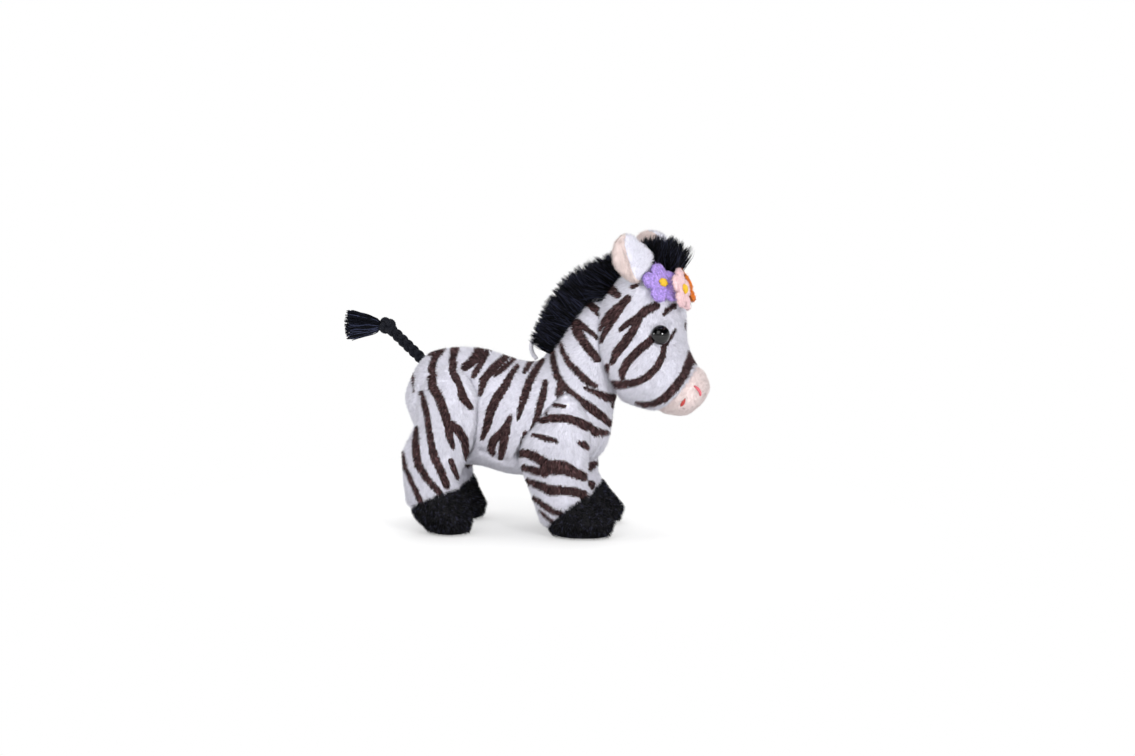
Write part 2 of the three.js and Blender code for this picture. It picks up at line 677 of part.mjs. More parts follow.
// Tail: a braid out of the back seam, a knot and a cut tassel, drawn along its own X axis
const tail = new THREE.Group();
const tailOut = body.normal(TAIL_ROOT_ALONG, 0);
tail.position.copy(body.point(TAIL_ROOT_ALONG, 0)).addScaledVector(tailOut, SEAM);
tail.rotation.y = Math.PI + radians(TAIL_RISE);
zebra.add(tail);
const capEnd = (radius, x, facing) =>
  Array.from({ length: 4 }, (_, i) => {
    const angle = (Math.PI / 2) * (i / 3);
    const turned = facing > 0 ? angle : Math.PI / 2 - angle;
    return new THREE.Vector2(radius * Math.cos(turned), x + facing * radius * Math.sin(turned));
  });
const braidRadius = BRAID_DIAMETER / 2;
const braidProfile = [
  ...capEnd(braidRadius, braidRadius, -1),
  ...capEnd(braidRadius, BRAID_LENGTH - braidRadius, 1),
];
braidProfile[0].x = 0;
braidProfile[braidProfile.length - 1].x = 0;
const alongX = (geometry) => geometry.rotateZ(-Math.PI / 2);
add(tail, "tail_braid", alongX(new THREE.LatheGeometry(braidProfile, 12)), YARN);

const tuft = new THREE.Group();
tuft.position.x = BRAID_LENGTH + SEAM + TAIL_KNOT_DIAMETER / 2;
tuft.rotation.y = -radians(TAIL_RISE);
tail.add(tuft);
add(tuft, "tail_knot", new THREE.SphereGeometry(TAIL_KNOT_DIAMETER / 2, 14, 10), YARN);
const tasselStart = TAIL_KNOT_DIAMETER / 2 + SEAM;
const tasselProfile = [
  new THREE.Vector2(0, tasselStart),
  new THREE.Vector2(TASSEL_NECK / 2, tasselStart),
  new THREE.Vector2((TASSEL_NECK + TASSEL_END) / 3.4, tasselStart + 0.45 * TASSEL_LENGTH),
  new THREE.Vector2(TASSEL_END / 2, tasselStart + TASSEL_LENGTH),
  new THREE.Vector2(0, tasselStart + TASSEL_LENGTH),
];
const tassel = alongX(new THREE.LatheGeometry(tasselProfile, 16)).scale(1, TASSEL_FLATNESS, 1);
add(tuft, "tail_tassel", tassel, YARN);

// Hang loop
const loopFoot = body.point(LOOP_PLACE, 0).addScaledVector(body.normal(LOOP_PLACE, 0), SEAM);
const loopPath = new THREE.CatmullRomCurve3(LOOP.map(([x, y, z]) => vector(x, y, z).add(loopFoot)));
const cordSection = new THREE.Shape().absarc(0, 0, CORD_DIAMETER / 2, 0, 2 * Math.PI);
const loop = new THREE.ExtrudeGeometry(cordSection, { steps: 28, curveSegments: 3, extrudePath: loopPath });
add(zebra, "hang_loop", loop, LOOP_CORD);

export default zebra;
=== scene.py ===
"""A small plush zebra with short striped pile, black hair, felt flowers and a braided tail."""

import json
import math
import zlib
from contextlib import contextmanager
from dataclasses import dataclass

import bmesh
import bpy
import numpy as np
from bpy.props import FloatProperty, FloatVectorProperty, PointerProperty
from mathutils import Vector
from mathutils.bvhtree import BVHTree
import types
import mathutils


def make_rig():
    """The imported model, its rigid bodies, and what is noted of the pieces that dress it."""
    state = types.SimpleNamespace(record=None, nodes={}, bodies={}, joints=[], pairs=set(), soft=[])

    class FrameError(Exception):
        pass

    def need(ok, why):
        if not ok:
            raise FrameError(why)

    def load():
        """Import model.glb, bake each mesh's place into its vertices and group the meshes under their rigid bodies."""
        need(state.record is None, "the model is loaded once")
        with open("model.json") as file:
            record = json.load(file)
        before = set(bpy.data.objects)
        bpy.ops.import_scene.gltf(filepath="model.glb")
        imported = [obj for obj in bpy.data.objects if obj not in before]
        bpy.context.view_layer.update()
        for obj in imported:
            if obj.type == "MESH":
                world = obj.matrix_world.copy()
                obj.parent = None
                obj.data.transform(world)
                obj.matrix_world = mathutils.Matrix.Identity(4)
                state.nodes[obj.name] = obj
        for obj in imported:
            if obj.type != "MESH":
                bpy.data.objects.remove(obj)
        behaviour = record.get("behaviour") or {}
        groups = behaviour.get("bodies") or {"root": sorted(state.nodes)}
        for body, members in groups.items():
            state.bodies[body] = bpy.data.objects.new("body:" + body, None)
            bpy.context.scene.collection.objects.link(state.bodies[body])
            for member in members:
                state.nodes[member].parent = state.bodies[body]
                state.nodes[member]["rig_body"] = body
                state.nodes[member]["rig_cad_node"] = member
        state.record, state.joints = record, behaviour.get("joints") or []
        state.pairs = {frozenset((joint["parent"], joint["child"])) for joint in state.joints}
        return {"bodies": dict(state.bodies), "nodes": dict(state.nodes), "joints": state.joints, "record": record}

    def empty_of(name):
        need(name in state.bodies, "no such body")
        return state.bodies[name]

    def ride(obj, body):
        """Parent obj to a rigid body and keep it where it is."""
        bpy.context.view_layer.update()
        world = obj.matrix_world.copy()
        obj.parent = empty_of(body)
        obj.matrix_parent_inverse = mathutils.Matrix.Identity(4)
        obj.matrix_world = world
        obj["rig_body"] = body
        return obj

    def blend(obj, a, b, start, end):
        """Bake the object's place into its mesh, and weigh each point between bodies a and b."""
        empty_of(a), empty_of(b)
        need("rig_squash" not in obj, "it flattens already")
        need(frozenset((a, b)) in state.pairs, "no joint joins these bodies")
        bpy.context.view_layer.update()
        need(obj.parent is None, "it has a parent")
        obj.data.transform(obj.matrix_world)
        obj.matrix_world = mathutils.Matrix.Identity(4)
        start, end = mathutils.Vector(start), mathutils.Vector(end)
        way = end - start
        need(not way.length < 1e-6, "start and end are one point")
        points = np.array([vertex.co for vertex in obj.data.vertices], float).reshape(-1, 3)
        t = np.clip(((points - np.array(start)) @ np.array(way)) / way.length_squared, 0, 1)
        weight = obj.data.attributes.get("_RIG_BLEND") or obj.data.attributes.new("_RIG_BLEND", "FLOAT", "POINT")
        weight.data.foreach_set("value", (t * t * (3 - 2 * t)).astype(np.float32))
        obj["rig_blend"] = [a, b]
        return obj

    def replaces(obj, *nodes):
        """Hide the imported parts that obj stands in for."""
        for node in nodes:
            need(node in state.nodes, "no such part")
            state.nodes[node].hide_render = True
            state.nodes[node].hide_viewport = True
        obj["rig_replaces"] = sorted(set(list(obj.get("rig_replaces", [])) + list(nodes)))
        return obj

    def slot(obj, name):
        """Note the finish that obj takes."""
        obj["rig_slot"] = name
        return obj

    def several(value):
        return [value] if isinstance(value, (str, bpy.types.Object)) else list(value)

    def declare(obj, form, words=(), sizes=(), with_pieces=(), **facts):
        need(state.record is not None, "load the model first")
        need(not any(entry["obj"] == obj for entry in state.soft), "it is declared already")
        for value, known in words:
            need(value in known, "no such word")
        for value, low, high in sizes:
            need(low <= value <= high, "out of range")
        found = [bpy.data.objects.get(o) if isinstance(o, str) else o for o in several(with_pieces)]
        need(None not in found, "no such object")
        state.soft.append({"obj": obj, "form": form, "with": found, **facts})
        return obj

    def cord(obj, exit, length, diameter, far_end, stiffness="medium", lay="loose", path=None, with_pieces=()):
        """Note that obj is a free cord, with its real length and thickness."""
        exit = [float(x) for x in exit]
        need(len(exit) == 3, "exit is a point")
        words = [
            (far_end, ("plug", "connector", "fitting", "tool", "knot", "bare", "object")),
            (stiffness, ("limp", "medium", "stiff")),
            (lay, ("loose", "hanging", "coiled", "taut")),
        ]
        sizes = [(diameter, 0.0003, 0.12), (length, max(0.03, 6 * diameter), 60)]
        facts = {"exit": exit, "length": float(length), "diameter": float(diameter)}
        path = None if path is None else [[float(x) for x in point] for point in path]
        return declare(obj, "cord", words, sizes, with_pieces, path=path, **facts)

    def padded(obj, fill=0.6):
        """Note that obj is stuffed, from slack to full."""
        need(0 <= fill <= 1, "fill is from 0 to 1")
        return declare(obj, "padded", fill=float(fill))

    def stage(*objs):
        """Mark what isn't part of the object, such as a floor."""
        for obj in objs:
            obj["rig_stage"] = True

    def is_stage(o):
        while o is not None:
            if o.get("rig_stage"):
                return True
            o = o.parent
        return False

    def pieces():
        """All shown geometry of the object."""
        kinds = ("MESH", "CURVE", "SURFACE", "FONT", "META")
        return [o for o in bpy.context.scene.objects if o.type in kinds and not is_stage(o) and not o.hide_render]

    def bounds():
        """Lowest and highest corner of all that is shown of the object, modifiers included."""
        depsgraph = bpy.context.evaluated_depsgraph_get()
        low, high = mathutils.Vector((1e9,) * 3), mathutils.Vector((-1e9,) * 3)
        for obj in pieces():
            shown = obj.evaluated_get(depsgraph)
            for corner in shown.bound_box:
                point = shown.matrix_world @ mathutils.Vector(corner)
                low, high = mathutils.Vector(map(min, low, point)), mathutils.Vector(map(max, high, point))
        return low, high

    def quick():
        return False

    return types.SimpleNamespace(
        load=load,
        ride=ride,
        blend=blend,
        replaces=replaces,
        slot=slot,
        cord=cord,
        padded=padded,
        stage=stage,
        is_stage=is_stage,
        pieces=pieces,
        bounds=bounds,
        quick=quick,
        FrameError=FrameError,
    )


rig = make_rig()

bl_info = {
    "name": "Plush zebra",
    "version": (1, 0, 0),
    "blender": (4, 5, 0),
    "location": "3D View > Sidebar > Plush zebra",
    "description": "Dresses the frame of a small plush zebra in pile, hair, felt and yarn",
    "category": "Object",
}

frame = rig.load()
CAD_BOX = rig.bounds()
MM = 0.001

# Camera, worked out from the photograph
PHOTO_WIDTH = 1135
PHOTO_HEIGHT = 756
LENS = 85.0
SENSOR = 36.0
AZIMUTH = math.radians(8.0)
ELEVATION = math.radians(8.5)
DISTANCE = 0.96
AIM = Vector((0.0148, 0.0, 0.055))

# The frame's own places that the dressing needs, in metres
NECK_BALL = np.array((37.0, 0.0, 70.0)) * MM
HEAD_TURN = math.radians(-4.0)
CROWN = np.array((44.0, -1.0, 80.0)) * MM
NECK_LINE = np.array(((18.0, 0.0, 52.0), (37.0, 0.0, 76.0))) * MM
MUZZLE_SEAM = ((47.0, 44.8), (61.6, 61.0))
MUZZLE_SWEEP = 0.2
REAR_HOOF_SEAM = ((-38.0, 11.0), (-23.0, 17.6))
FRONT_HOOF_SEAM = ((9.0, 4.0), (24.0, 16.5))
BRAID_ROOT = np.array((-38.2, 0.0, 60.8)) * MM
BRAID_RISE = math.radians(43.4)
BRAID_LENGTH = 14.2 * MM
KNOT_PLACE = np.array((-50.9, 0.0, 72.8)) * MM
TASSEL_START = np.array((-53.4, 0.0, 72.8)) * MM
TASSEL_LENGTH = 13.0 * MM
LOOP_FOOT = np.array((3.57, 0.0, 60.85)) * MM
LOOP = (
    (0, 0.4, 0.9), (-1.2, 0.7, 2.2), (-2, 1.4, 4), (-2.2, 3, 5.8), (-1.4, 5.4, 7.6), (0.4, 7.2, 9.8),
    (2, 7.9, 12.2), (3.7, 8.2, 14.6), (5.4, 8.5, 15.8), (7, 8.4, 14.8), (8, 8.3, 12.4), (8.4, 8.2, 9.8),
    (8.3, 8.2, 7.2), (8, 8.4, 5.2),
)

SIDES = ("right", "left")
LEGS = (("rear", REAR_HOOF_SEAM), ("front", FRONT_HOOF_SEAM))

# Forms shared with the frame's solids, rump to neck and crown to nose: upper edge, lower edge, half width.
# The neck reaches a little further into the head than the frame's does, and the head further over the neck.
BODY = (
    ((-43.6, 54), (-43.6, 41.5), 13), ((-35, 63.2), (-32, 25), 17), ((-18, 65), (-17, 23), 18),
    ((0, 60.4), (0, 20), 18), ((8, 64), (26, 27), 17), ((20.5, 81.5), (31.5, 46), 13.5),
    ((34, 92.5), (35, 57), 10),
)
HEAD = (
    ((48.4, 98), (38.5, 98), 10), ((55.8, 89.6), (32.6, 91), 16.5), ((57.1, 78), (24.7, 78), 18),
    ((57.6, 69), (24.4, 61), 18.5), ((59.9, 62.5), (33.4, 48.7), 16.5), ((63.6, 58.5), (48.8, 43.9), 13),
    ((65.8, 53.5), (57.2, 42.9), 11.5), ((65.4, 50), (61.4, 44.9), 8),
)
BODY_BLUNTNESS = 10
HEAD_BLUNTNESS = 8
LOFT_RINGS = 60
LOFT_SIDES = 48
LOFT_SPAN = (0.02, 0.98)

# How far the front edge of each ear stands out, at heights above and below its middle
EAR_EDGE = {
    "right": ((-9, 0), (-6.4, 2.6), (-4.6, 3.9), (-2.6, 3.0), (0, 0.7), (3, -1.1), (6, -1.6), (9, -0.8)),
    "left": ((-7, 0), (-3.2, 1.5), (0.8, 4), (4.8, 5), (7.2, 4.2), (9.2, 2)),
}

# Turn of the third flower to the far side
ORANGE_TURN = math.radians(12.0)

# How much lower a hoof's seam lies on the inner side of the leg, for each step inwards from its outer side
SEAM_SLOPE = 0.28
LEG_OUTER = 20.0 * MM

# Depth and width of the furrow that the stitches of a seam draw
MUZZLE_FURROW = (0.7 * MM, 1.3 * MM)
HOOF_FURROW = (0.6 * MM, 1.2 * MM)
GUSSET_FURROW = (1.1 * MM, 1.1 * MM)
EAR_FURROW = (0.6 * MM, 0.8 * MM)

# Where a seam shows: how far a skin faces down for the gusset, and out for an ear, and the gusset's top
GUSSET_FACING = -0.2
GUSSET_TOP = 36 * MM
EAR_FACING = 0.2

# Ears: grid, depth of the skin under its pile, width over which the front edge moves, and the seam between
# back and front: its place across the ear and out of it, and its lean
EAR_VOXEL = 0.5 * MM
EAR_UNDER = 0.4 * MM
EAR_REACH = 6 * MM
EAR_SEAM = (2.4 * MM, 1.4 * MM)
EAR_SEAM_LEAN = 0.3

# Eyes: dome and post
EYE_RADIUS = 3.5 * MM
EYE_DOME = 3.4 * MM
EYE_RIM = 0.5 * MM
EYE_SIDES = 40
POST_RADIUS = 1.2 * MM
POST_END = 10.4 * MM

# Flowers: cut, felt and the matted fibres on it
FLOWER_RADIUS = 7.5 * MM
PETALS = 5
PETAL_RADIUS = 2.85 * MM
PETAL_STEPS = 120
FELT_THICK = 1.4 * MM
FELT_FIBRES = 1500
FELT_FIBRE_LENGTH = (0.8, 1.8)
PRESS_DEPTH = 0.22 * MM
PRESS_PLACE = 0.76
PRESS_WIDTH = 0.05
KNOT_STITCHES = 6
KNOT_WIDE = (1.15, 1.5)
KNOT_HIGH = (0.5, 0.9)
KNOT_LIFT = 0.75 * MM

# Threads and yarn: sides of a drawn thread, and a stitch's radius, step between lanes and shortening beside
PLY_SIDES = 6
THREAD_SIDES = 7
THREAD_RADIUS = 0.3 * MM
THREAD_GAP = 0.3 * MM
THREAD_SHORTER = 0.25 * MM

# Hair: places tried on a square millimetre, most hairs drawn, hairs in a tuft, depth of the core, thickness,
# how much the direction varies, how far short hairs lie aside, and how far tips close up in a tuft
HAIR_TRIES = 40
HAIR_COUNT = 6000
TUFT_HAIRS = 20
CORE_UNDER = 3.2 * MM
HAIR_RADIUS = 0.2 * MM
HAIR_VARIES = 0.16
HAIR_ASIDE = 0.9
TUFT_CLOSING = (0.4, 0.85)

# Tail: shares of its length between which the braid is drawn, its turns, height and width, the ends of the
# tassel, how far they flare sideways and upwards, their thickness, and the flare of a stray one
BRAID_SPAN = (-0.15, 1.16)
BRAID_TURNS = 1.75
BRAID_HIGH = 1.1 * MM
BRAID_WIDE = 0.8 * MM
TASSEL_ENDS = 420
TASSEL_WIDE = 4.0
TASSEL_HIGH = 5.6
TASSEL_RADIUS = 0.15 * MM
TASSEL_SIDES = 4
TASSEL_STRAY = 1.3

# Half width of the belly gusset along the body
GUSSET = ((-50, 9), (-36, 6.5), (-24, 8), (-15, 13.5), (-6, 12.5), (2, 13), (10, 6.5), (20, 6))

# Where each leg bends: hip, and the heights between which its cloth goes over from body to leg
HIPS = {"rear": (-27.0, 46.0, 50.0, 21.0), "front": (14.0, 41.0, 46.0, 18.0)}
SWING = math.radians(12.0)

# Where the neck twists: the points between which it goes over from body to head, and the head's travel
NECK_BEND = np.array(((17.0, 0.0, 58.0), (32.0, 0.0, 72.0))) * MM
TURN = math.radians(12.0)
NODS = (math.radians(-6.0), math.radians(8.0))

# Room left beside a neighbour and round the neck's wad, how far a skin lies under the form its pile fills,
# and how far the wad lies in and how lumpy it is
CLEAR = 0.22 * MM
WAD_CLEAR = 0.2 * MM
UNDER_PILE = 0.55 * MM
WAD_UNDER = 0.5 * MM
WAD_LUMPS = 0.12 * MM

# Steps of smoothing, in towards the neighbours and back out, which keep the volume
SMOOTH_IN = 0.5
SMOOTH_OUT = -0.52

# Width of a clump of fibres that share a tint
CLUMP = 0.5 * MM

QUICK_SHARE = 0.25
LONG_LEAN = 50
SHORT_LEAN = 42
HOOF_LEAN = 35
LEAN_VARIES = 7
LENGTH_VARIES = (0.75, 1.15)
ROOT_DEPTH = 0.15 * MM
TEST_START = 0.2 * MM
LOWEST_TIP = 0.1 * MM
FIBRE_REACH = 2.5 * MM
MIDDLE_RISE = 0.6
MIDDLE_LEAN = 0.4
FACING_LEAN = 0.25
FACING_VARIES = 0.22

# Where the lamps point, and half the width of the floor
LIT = Vector((0, 0, 0.05))
FLOOR_REACH = 4.0

# The print, with painted shade drawn the same way along two creases: each stripe is a line of (across, down, width) in
# pixels of the photograph, drawn SPREAD wider.
# Its edge is ragged by some pixels, and a fibre takes the colour at one height.
SPREAD = 0.7
PRINT_RAGGED = 0.35
PRINT_HEIGHT = 0.6
PRINT_AND_CREASE_SHADE = {
    "rear": (
        ((444, 348, 4), (432.6, 361, 7), (431, 372, 9), (432.6, 388, 9), (439, 398, 9), (444, 412, 9),
         (448.6, 426.6, 9), (450, 439, 7), (453.4, 448, 4)),
        ((448.6, 424, 9), (458, 430, 9), (464.6, 441, 8), (467, 458.6, 5)),
        ((455, 348, 9), (452.6, 359, 6), (453, 372, 8), (460, 386.6, 6), (463, 398, 9), (471, 408, 5)),
        ((421, 393, 4), (424, 404, 6), (427, 417, 6), (428.6, 430, 6), (431, 444, 7), (434, 457, 8),
         (440.6, 471, 8), (447, 486, 7)),
        ((416.6, 428, 3), (415, 439, 7), (416, 454, 8), (418, 465, 8), (426, 478, 7), (437, 490.6, 6),
         (441, 494.6, 5)),
        ((402, 452, 3), (405, 468, 4), (412, 484, 5), (418, 497, 6), (421, 503, 5)),
        ((451, 461, 5), (454, 470, 6), (458, 478, 4)),
        # The line below is no stripe: it is painted shade, the dark crease where the haunch meets the belly.
        ((479, 424, 2), (477.5, 432, 3), (477, 440, 2)),
    ),
    "front": (
        ((541, 421, 6), (551.6, 418.5, 8), (566, 418.5, 8), (579, 422.5, 9), (587, 426.5, 9)),
        ((554, 405, 4), (559.6, 405.7, 4), (565, 406.5, 3)),
        ((546, 413, 3), (546, 414.4, 3)),
        ((533, 435, 4), (542, 437.7, 5), (550, 440, 5), (556, 441.7, 4)),
        ((579.6, 443, 4), (584, 445, 7), (588, 448, 5)),
        ((522, 453.7, 8), (531, 455, 9), (542, 461.7, 10), (548, 468, 15), (563, 468, 14), (574, 473, 11),
         (584, 477, 9)),
        ((524, 468, 6), (534, 471, 8), (545, 473.7, 8)),
        ((527, 481.7, 6), (539, 485.7, 8), (550, 491, 10), (563, 491, 9), (574, 492, 9), (584, 495, 9)),
        ((534, 498.5, 4), (543.6, 506, 6), (553, 512, 6), (561, 514, 5)),
        ((539.6, 511.5, 2.5), (547.6, 519, 3.5), (554, 524, 3.5)),
    ),
    "body": (
        ((444, 347, 5), (434, 358, 7), (431, 370, 7)),
        ((455, 346, 9), (452.6, 359, 7), (453, 370, 7)),
        ((429, 355, 2), (437, 350, 2)),
        ((417, 356, 3), (413.5, 363, 3), (412.5, 374, 2), (413.5, 392, 1)),
        ((480, 349, 8), (471, 362.6, 9), (465, 367, 8)),
        ((486, 353, 6), (479, 366, 6), (473, 376, 5)),
        ((475, 348, 3), (480, 348.5, 3)),
        ((507, 356, 6), (495, 366, 8), (484, 379, 8), (480, 394.6, 4)),
        ((516, 357, 4), (504.6, 367, 5), (495, 375, 4)),
        ((517, 366, 4), (511, 374, 6), (504.6, 386.6, 8), (496.6, 398, 9), (490, 412, 9), (487, 425, 8),
         (482, 439, 4)),
        ((531, 361, 6), (524, 372, 4)),
        ((543, 360, 4), (535.6, 369, 7), (529, 382, 8), (525, 394.6, 8), (521, 407, 6), (518, 419, 3)),
        ((545, 382, 5), (543.6, 393, 7), (539.6, 406, 7), (535.6, 422, 6), (531.6, 433, 4)),
        ((510, 417, 4), (506, 428, 8), (493, 441, 8), (491, 449, 8), (492.6, 454, 5)),
        ((506, 428, 8), (504.6, 439, 8), (502, 449, 8), (501, 458, 5)),
        # The line below lies in the dark crease behind the front leg: partly a stripe, partly painted shade of the
        # crease.
        ((525, 433, 4), (523, 442, 6)),
        ((552, 348, 4), (553, 361, 7), (556, 374, 7), (562, 385, 7), (571, 393, 6), (580, 401, 8),
         (591.6, 409, 9), (604, 418.5, 8), (611, 425, 5)),
        ((559.6, 385, 6), (559, 394.5, 8), (558, 399, 3)),
        ((560, 343, 3), (563, 353, 5), (569, 364, 6), (579, 374, 7), (588, 382.5, 7), (596, 386.5, 4)),
        ((574, 322.6, 8), (577, 332, 10), (583.6, 342, 9), (590, 351, 9), (597, 359, 8)),
        ((578, 322, 6), (582, 326, 6), (590, 332, 5), (597, 338, 4)),
        ((588, 303, 7), (596, 310, 8), (603, 317, 7)),
        ((610, 284, 6), (612, 290.6, 9), (616, 294, 8)),
        ((585, 388, 3), (596, 393, 6), (607.6, 398, 8), (617, 399, 9), (614, 406, 5)),
        ((587, 426.5, 9), (596, 433, 9), (606, 433, 6)),
    ),
    "head": (
        ((627.6, 298.6, 7), (620, 306.6, 9), (614, 316, 9), (607.6, 327, 7), (600, 342, 4)),
        ((617, 305, 4), (607.6, 314.6, 5), (602, 324, 5), (599.6, 330.6, 3)),
        ((656, 306, 8), (646, 311, 9), (636, 319, 7), (627, 324, 6), (619.6, 330, 4)),
        ((638, 321, 7), (633, 330.6, 8), (625, 342, 9), (616, 353, 9), (611.6, 362.6, 5)),
        ((655.5, 334.6, 7), (649, 342, 8), (638, 351, 8), (627, 362.6, 8), (622, 372, 8), (622, 378.6, 5)),
        ((676, 330, 2), (670, 338.6, 4), (664, 346.6, 5), (662.7, 356, 6), (657, 367, 7), (647.6, 377, 7),
         (636, 383, 7), (622, 385, 8), (609, 385, 8)),
        ((606.7, 366, 5), (605, 374, 6), (606, 379, 4)),
        ((690, 352, 4), (690.5, 361, 9), (685, 374.5, 9), (675, 388, 9), (664, 399, 8), (654, 404, 6),
         (645, 405, 5), (636, 403, 3)),
        ((609, 284, 6), (612, 290.6, 9), (617, 295, 7)),
        ((637, 285, 3), (632, 287, 4)),
        ((674.7, 306, 5), (668, 310, 5), (664, 315, 3)),
        ((687, 319, 2), (686.5, 325, 4), (686.5, 329, 3)),
    ),
}


def linear(code):
    """An sRGB hex colour as linear red, green and blue."""
    parts = [int(code[i:i + 2], 16) / 255 for i in (1, 3, 5)]
    return tuple(c / 12.92 if c <= 0.04045 else ((c + 0.055) / 1.055) ** 2.4 for c in parts)


def length_of(label, text, millimetres):
    return FloatProperty(name=label, description=text, default=millimetres * MM, unit="LENGTH", min=0.0)


def colour_of(label, text, code):
    return FloatVectorProperty(
        name=label, description=text, default=linear(code), subtype="COLOR", min=0, max=1)


class ZebraSizes(bpy.types.PropertyGroup):
    """Sizes of the cloth, hair and yarn."""
    pile: length_of("Pile", "Length of the striped plush's fibres", 1.6)
    fibre: length_of("Fibre", "Thickness drawn for a tuft of pile fibres", 0.2)
    short_pile: length_of("Short pile", "Length of the fibres on muzzle and ears", 1.2)
    hoof_pile: length_of("Hoof pile", "Length of the curled fibres on the hooves", 1.5)
    density: FloatProperty(
        name="Pile density", description="Tufts drawn on a square millimetre", default=9.5, min=0.1)
    hair: length_of("Hair", "Length of the hair in mane and forelock", 12.0)
    voxel: length_of("Cloth step", "Grid on which the stuffed forms are drawn", 0.7)


class ZebraColours(bpy.types.PropertyGroup):
    """Colours of the cloth, hair and yarn."""
    white: colour_of("White pile", "Ground of the striped plush", "#efeefa")
    # Brown also paints the shade along two creases, drawn with the stripes.
    brown: colour_of("Brown print", "Stripes printed on the plush", "#412e2f")
    black: colour_of("Black plush", "Hooves", "#09090f")
    hair: colour_of("Hair", "Mane and forelock", "#090a11")
    pink: colour_of("Pink plush", "Muzzle", "#f9e8e6")
    peach: colour_of("Peach plush", "Backs of the ears", "#f1dfdb")
    yarn: colour_of("Black yarn", "Tail", "#11131d")
    cord: colour_of("Loop cord", "Hang loop", "#e6e5ee")
    thread: colour_of("Yellow thread", "Knots of the flowers", "#f2c83c")
    nose: colour_of("Nose thread", "Nostril stitches", "#e4717d")
    mouth: colour_of("Mouth thread", "Mouth stitches", "#c04c48")
    purple: colour_of("Purple felt", "First flower", "#a98fe0")
    rose: colour_of("Pink felt", "Second flower", "#fbd3d7")
    orange: colour_of("Orange felt", "Third flower", "#e8791e")
    eye: colour_of("Eye", "Moulded eyes", "#020203")
    washer: colour_of("Washer", "Washers behind the eyes", "#dcdcda")
    fibre: colour_of("Stuffing", "Polyester stuffing", "#f2f1ec")


def sizes():
    return bpy.context.scene.zebra_sizes


def colours():
    return bpy.context.scene.zebra_colours


def chance(name):
    """Random numbers that are the same for a piece in each run."""
    return np.random.default_rng(zlib.crc32(name.encode()))


def unit(vectors):
    return vectors / np.maximum(np.linalg.norm(vectors, axis=-1, keepdims=True), 1e-12)


# Materials

def node(tree, kind, inputs=None, **settings):
    """Adds a node; an input is either a value or the socket that feeds it."""
    made = tree.nodes.new(kind)
    for key, value in settings.items():
        setattr(made, key, value)
    for key, value in (inputs or {}).items():
        if isinstance(value, bpy.types.NodeSocket):
            tree.links.new(value, made.inputs[key])
        else:
            made.inputs[key].default_value = value
    return made


def bare_tree(owner):
    """The emptied node tree of a material or world."""
    owner.use_nodes = True
    owner.node_tree.nodes.clear()
    return owner.node_tree


def surface(name, grain, rough, bump, colour, variation=None, swirl=0.0, **shader):
    """A material whose roughness and relief follow noise of one grain size, given in metres."""
    found = bpy.data.materials.get(name)
    if found:
        return found
    made = bpy.data.materials.new(name)
    tree = bare_tree(made)
    place = node(tree, "ShaderNodeTexCoord").outputs["Object"]
    noise = node(tree, "ShaderNodeTexNoise", {
        "Vector": place, "Scale": 1 / grain, "Detail": 3.0, "Distortion": swirl})
    gloss = node(tree, "ShaderNodeMapRange", {
        "Value": noise.outputs["Fac"], "From Min": 0.3, "From Max": 0.7,
        "To Min": rough[0], "To Max": rough[1]})
    relief = node(tree, "ShaderNodeBump", {
        "Height": noise.outputs["Fac"], "Strength": 0.8, "Distance": bump})
    base = (*colour, 1.0)
    if variation:
        dark = (*(c * variation for c in colour), 1.0)
        ramp = node(tree, "ShaderNodeMix", {
            "Factor": noise.outputs["Fac"], "A": dark, "B": base}, data_type="RGBA")
        base = ramp.outputs[2]
    inputs = {"Base Color": base, "Roughness": gloss.outputs["Result"], "Normal": relief.outputs["Normal"]}
    inputs.update(shader)
    shader_node = node(tree, "ShaderNodeBsdfPrincipled", inputs)
    node(tree, "ShaderNodeOutputMaterial", {"Surface": shader_node.outputs["BSDF"]})
    made.diffuse_color = (*colour, 1.0)
    return made


# Share and lightness of the tints that the fibres of one cloth show
TINTS = {
    "white": ((0.5, 1.0), (0.3, 0.87), (0.2, 1.06)),
    "brown": ((0.4, 1.0), (0.3, 0.35), (0.2, 2.2), (0.1, 3.8)),
    "black": ((0.45, 0.4), (0.2, 0.1), (0.22, 2.5), (0.13, 15.0)),
    "hair": ((0.5, 0.4), (0.3, 1.5), (0.2, 10.0)),
    "yarn": ((0.5, 0.6), (0.25, 0.3), (0.25, 6.0)),
    "pink": ((0.5, 1.0), (0.3, 0.94), (0.2, 1.03)),
    "peach": ((0.5, 1.0), (0.3, 0.92), (0.2, 1.03)),
    "purple": ((0.35, 1.0), (0.3, 0.6), (0.35, 1.6)),
    "rose": ((0.4, 1.0), (0.3, 0.85), (0.3, 1.1)),
    "orange": ((0.4, 1.0), (0.3, 0.7), (0.3, 1.4)),
}

# Cloths so dark that a gloss would grey them
DARK = ("black", "hair", "brown", "yarn")


def pile_tints(cloth):
    """Fibres of polyester plush, cut short: matt, with a soft sheen where they are seen edge on."""
    colour = getattr(colours(), cloth)
    made = []
    for number, (_, light) in enumerate(TINTS[cloth]):
        tint = tuple(min(1.0, c * light) for c in colour)
        name = f"polyester_plush_{cloth}_{number}"
        made.append(surface(name, grain=0.8 * MM, rough=(0.6, 0.85), bump=0.02 * MM, colour=tint, **{
            "Sheen Weight": 0.02 if cloth in DARK else 0.12, "Sheen Roughness": 0.5,
            "Specular IOR Level": 0.06 if cloth in DARK else 0.2}))
    return made


def backing(cloth):
    """Knitted backing of the plush, seen only between the fibres."""
    return surface(
        f"knitted_backing_{cloth}", grain=0.7 * MM, rough=(0.8, 0.95), bump=0.1 * MM,
        colour=getattr(colours(), cloth), variation=0.82)


def striped_backing():
    """Backing of the printed plush: its ground, and its stripes with the painted crease shade."""
    return [backing("white"), backing("brown")]


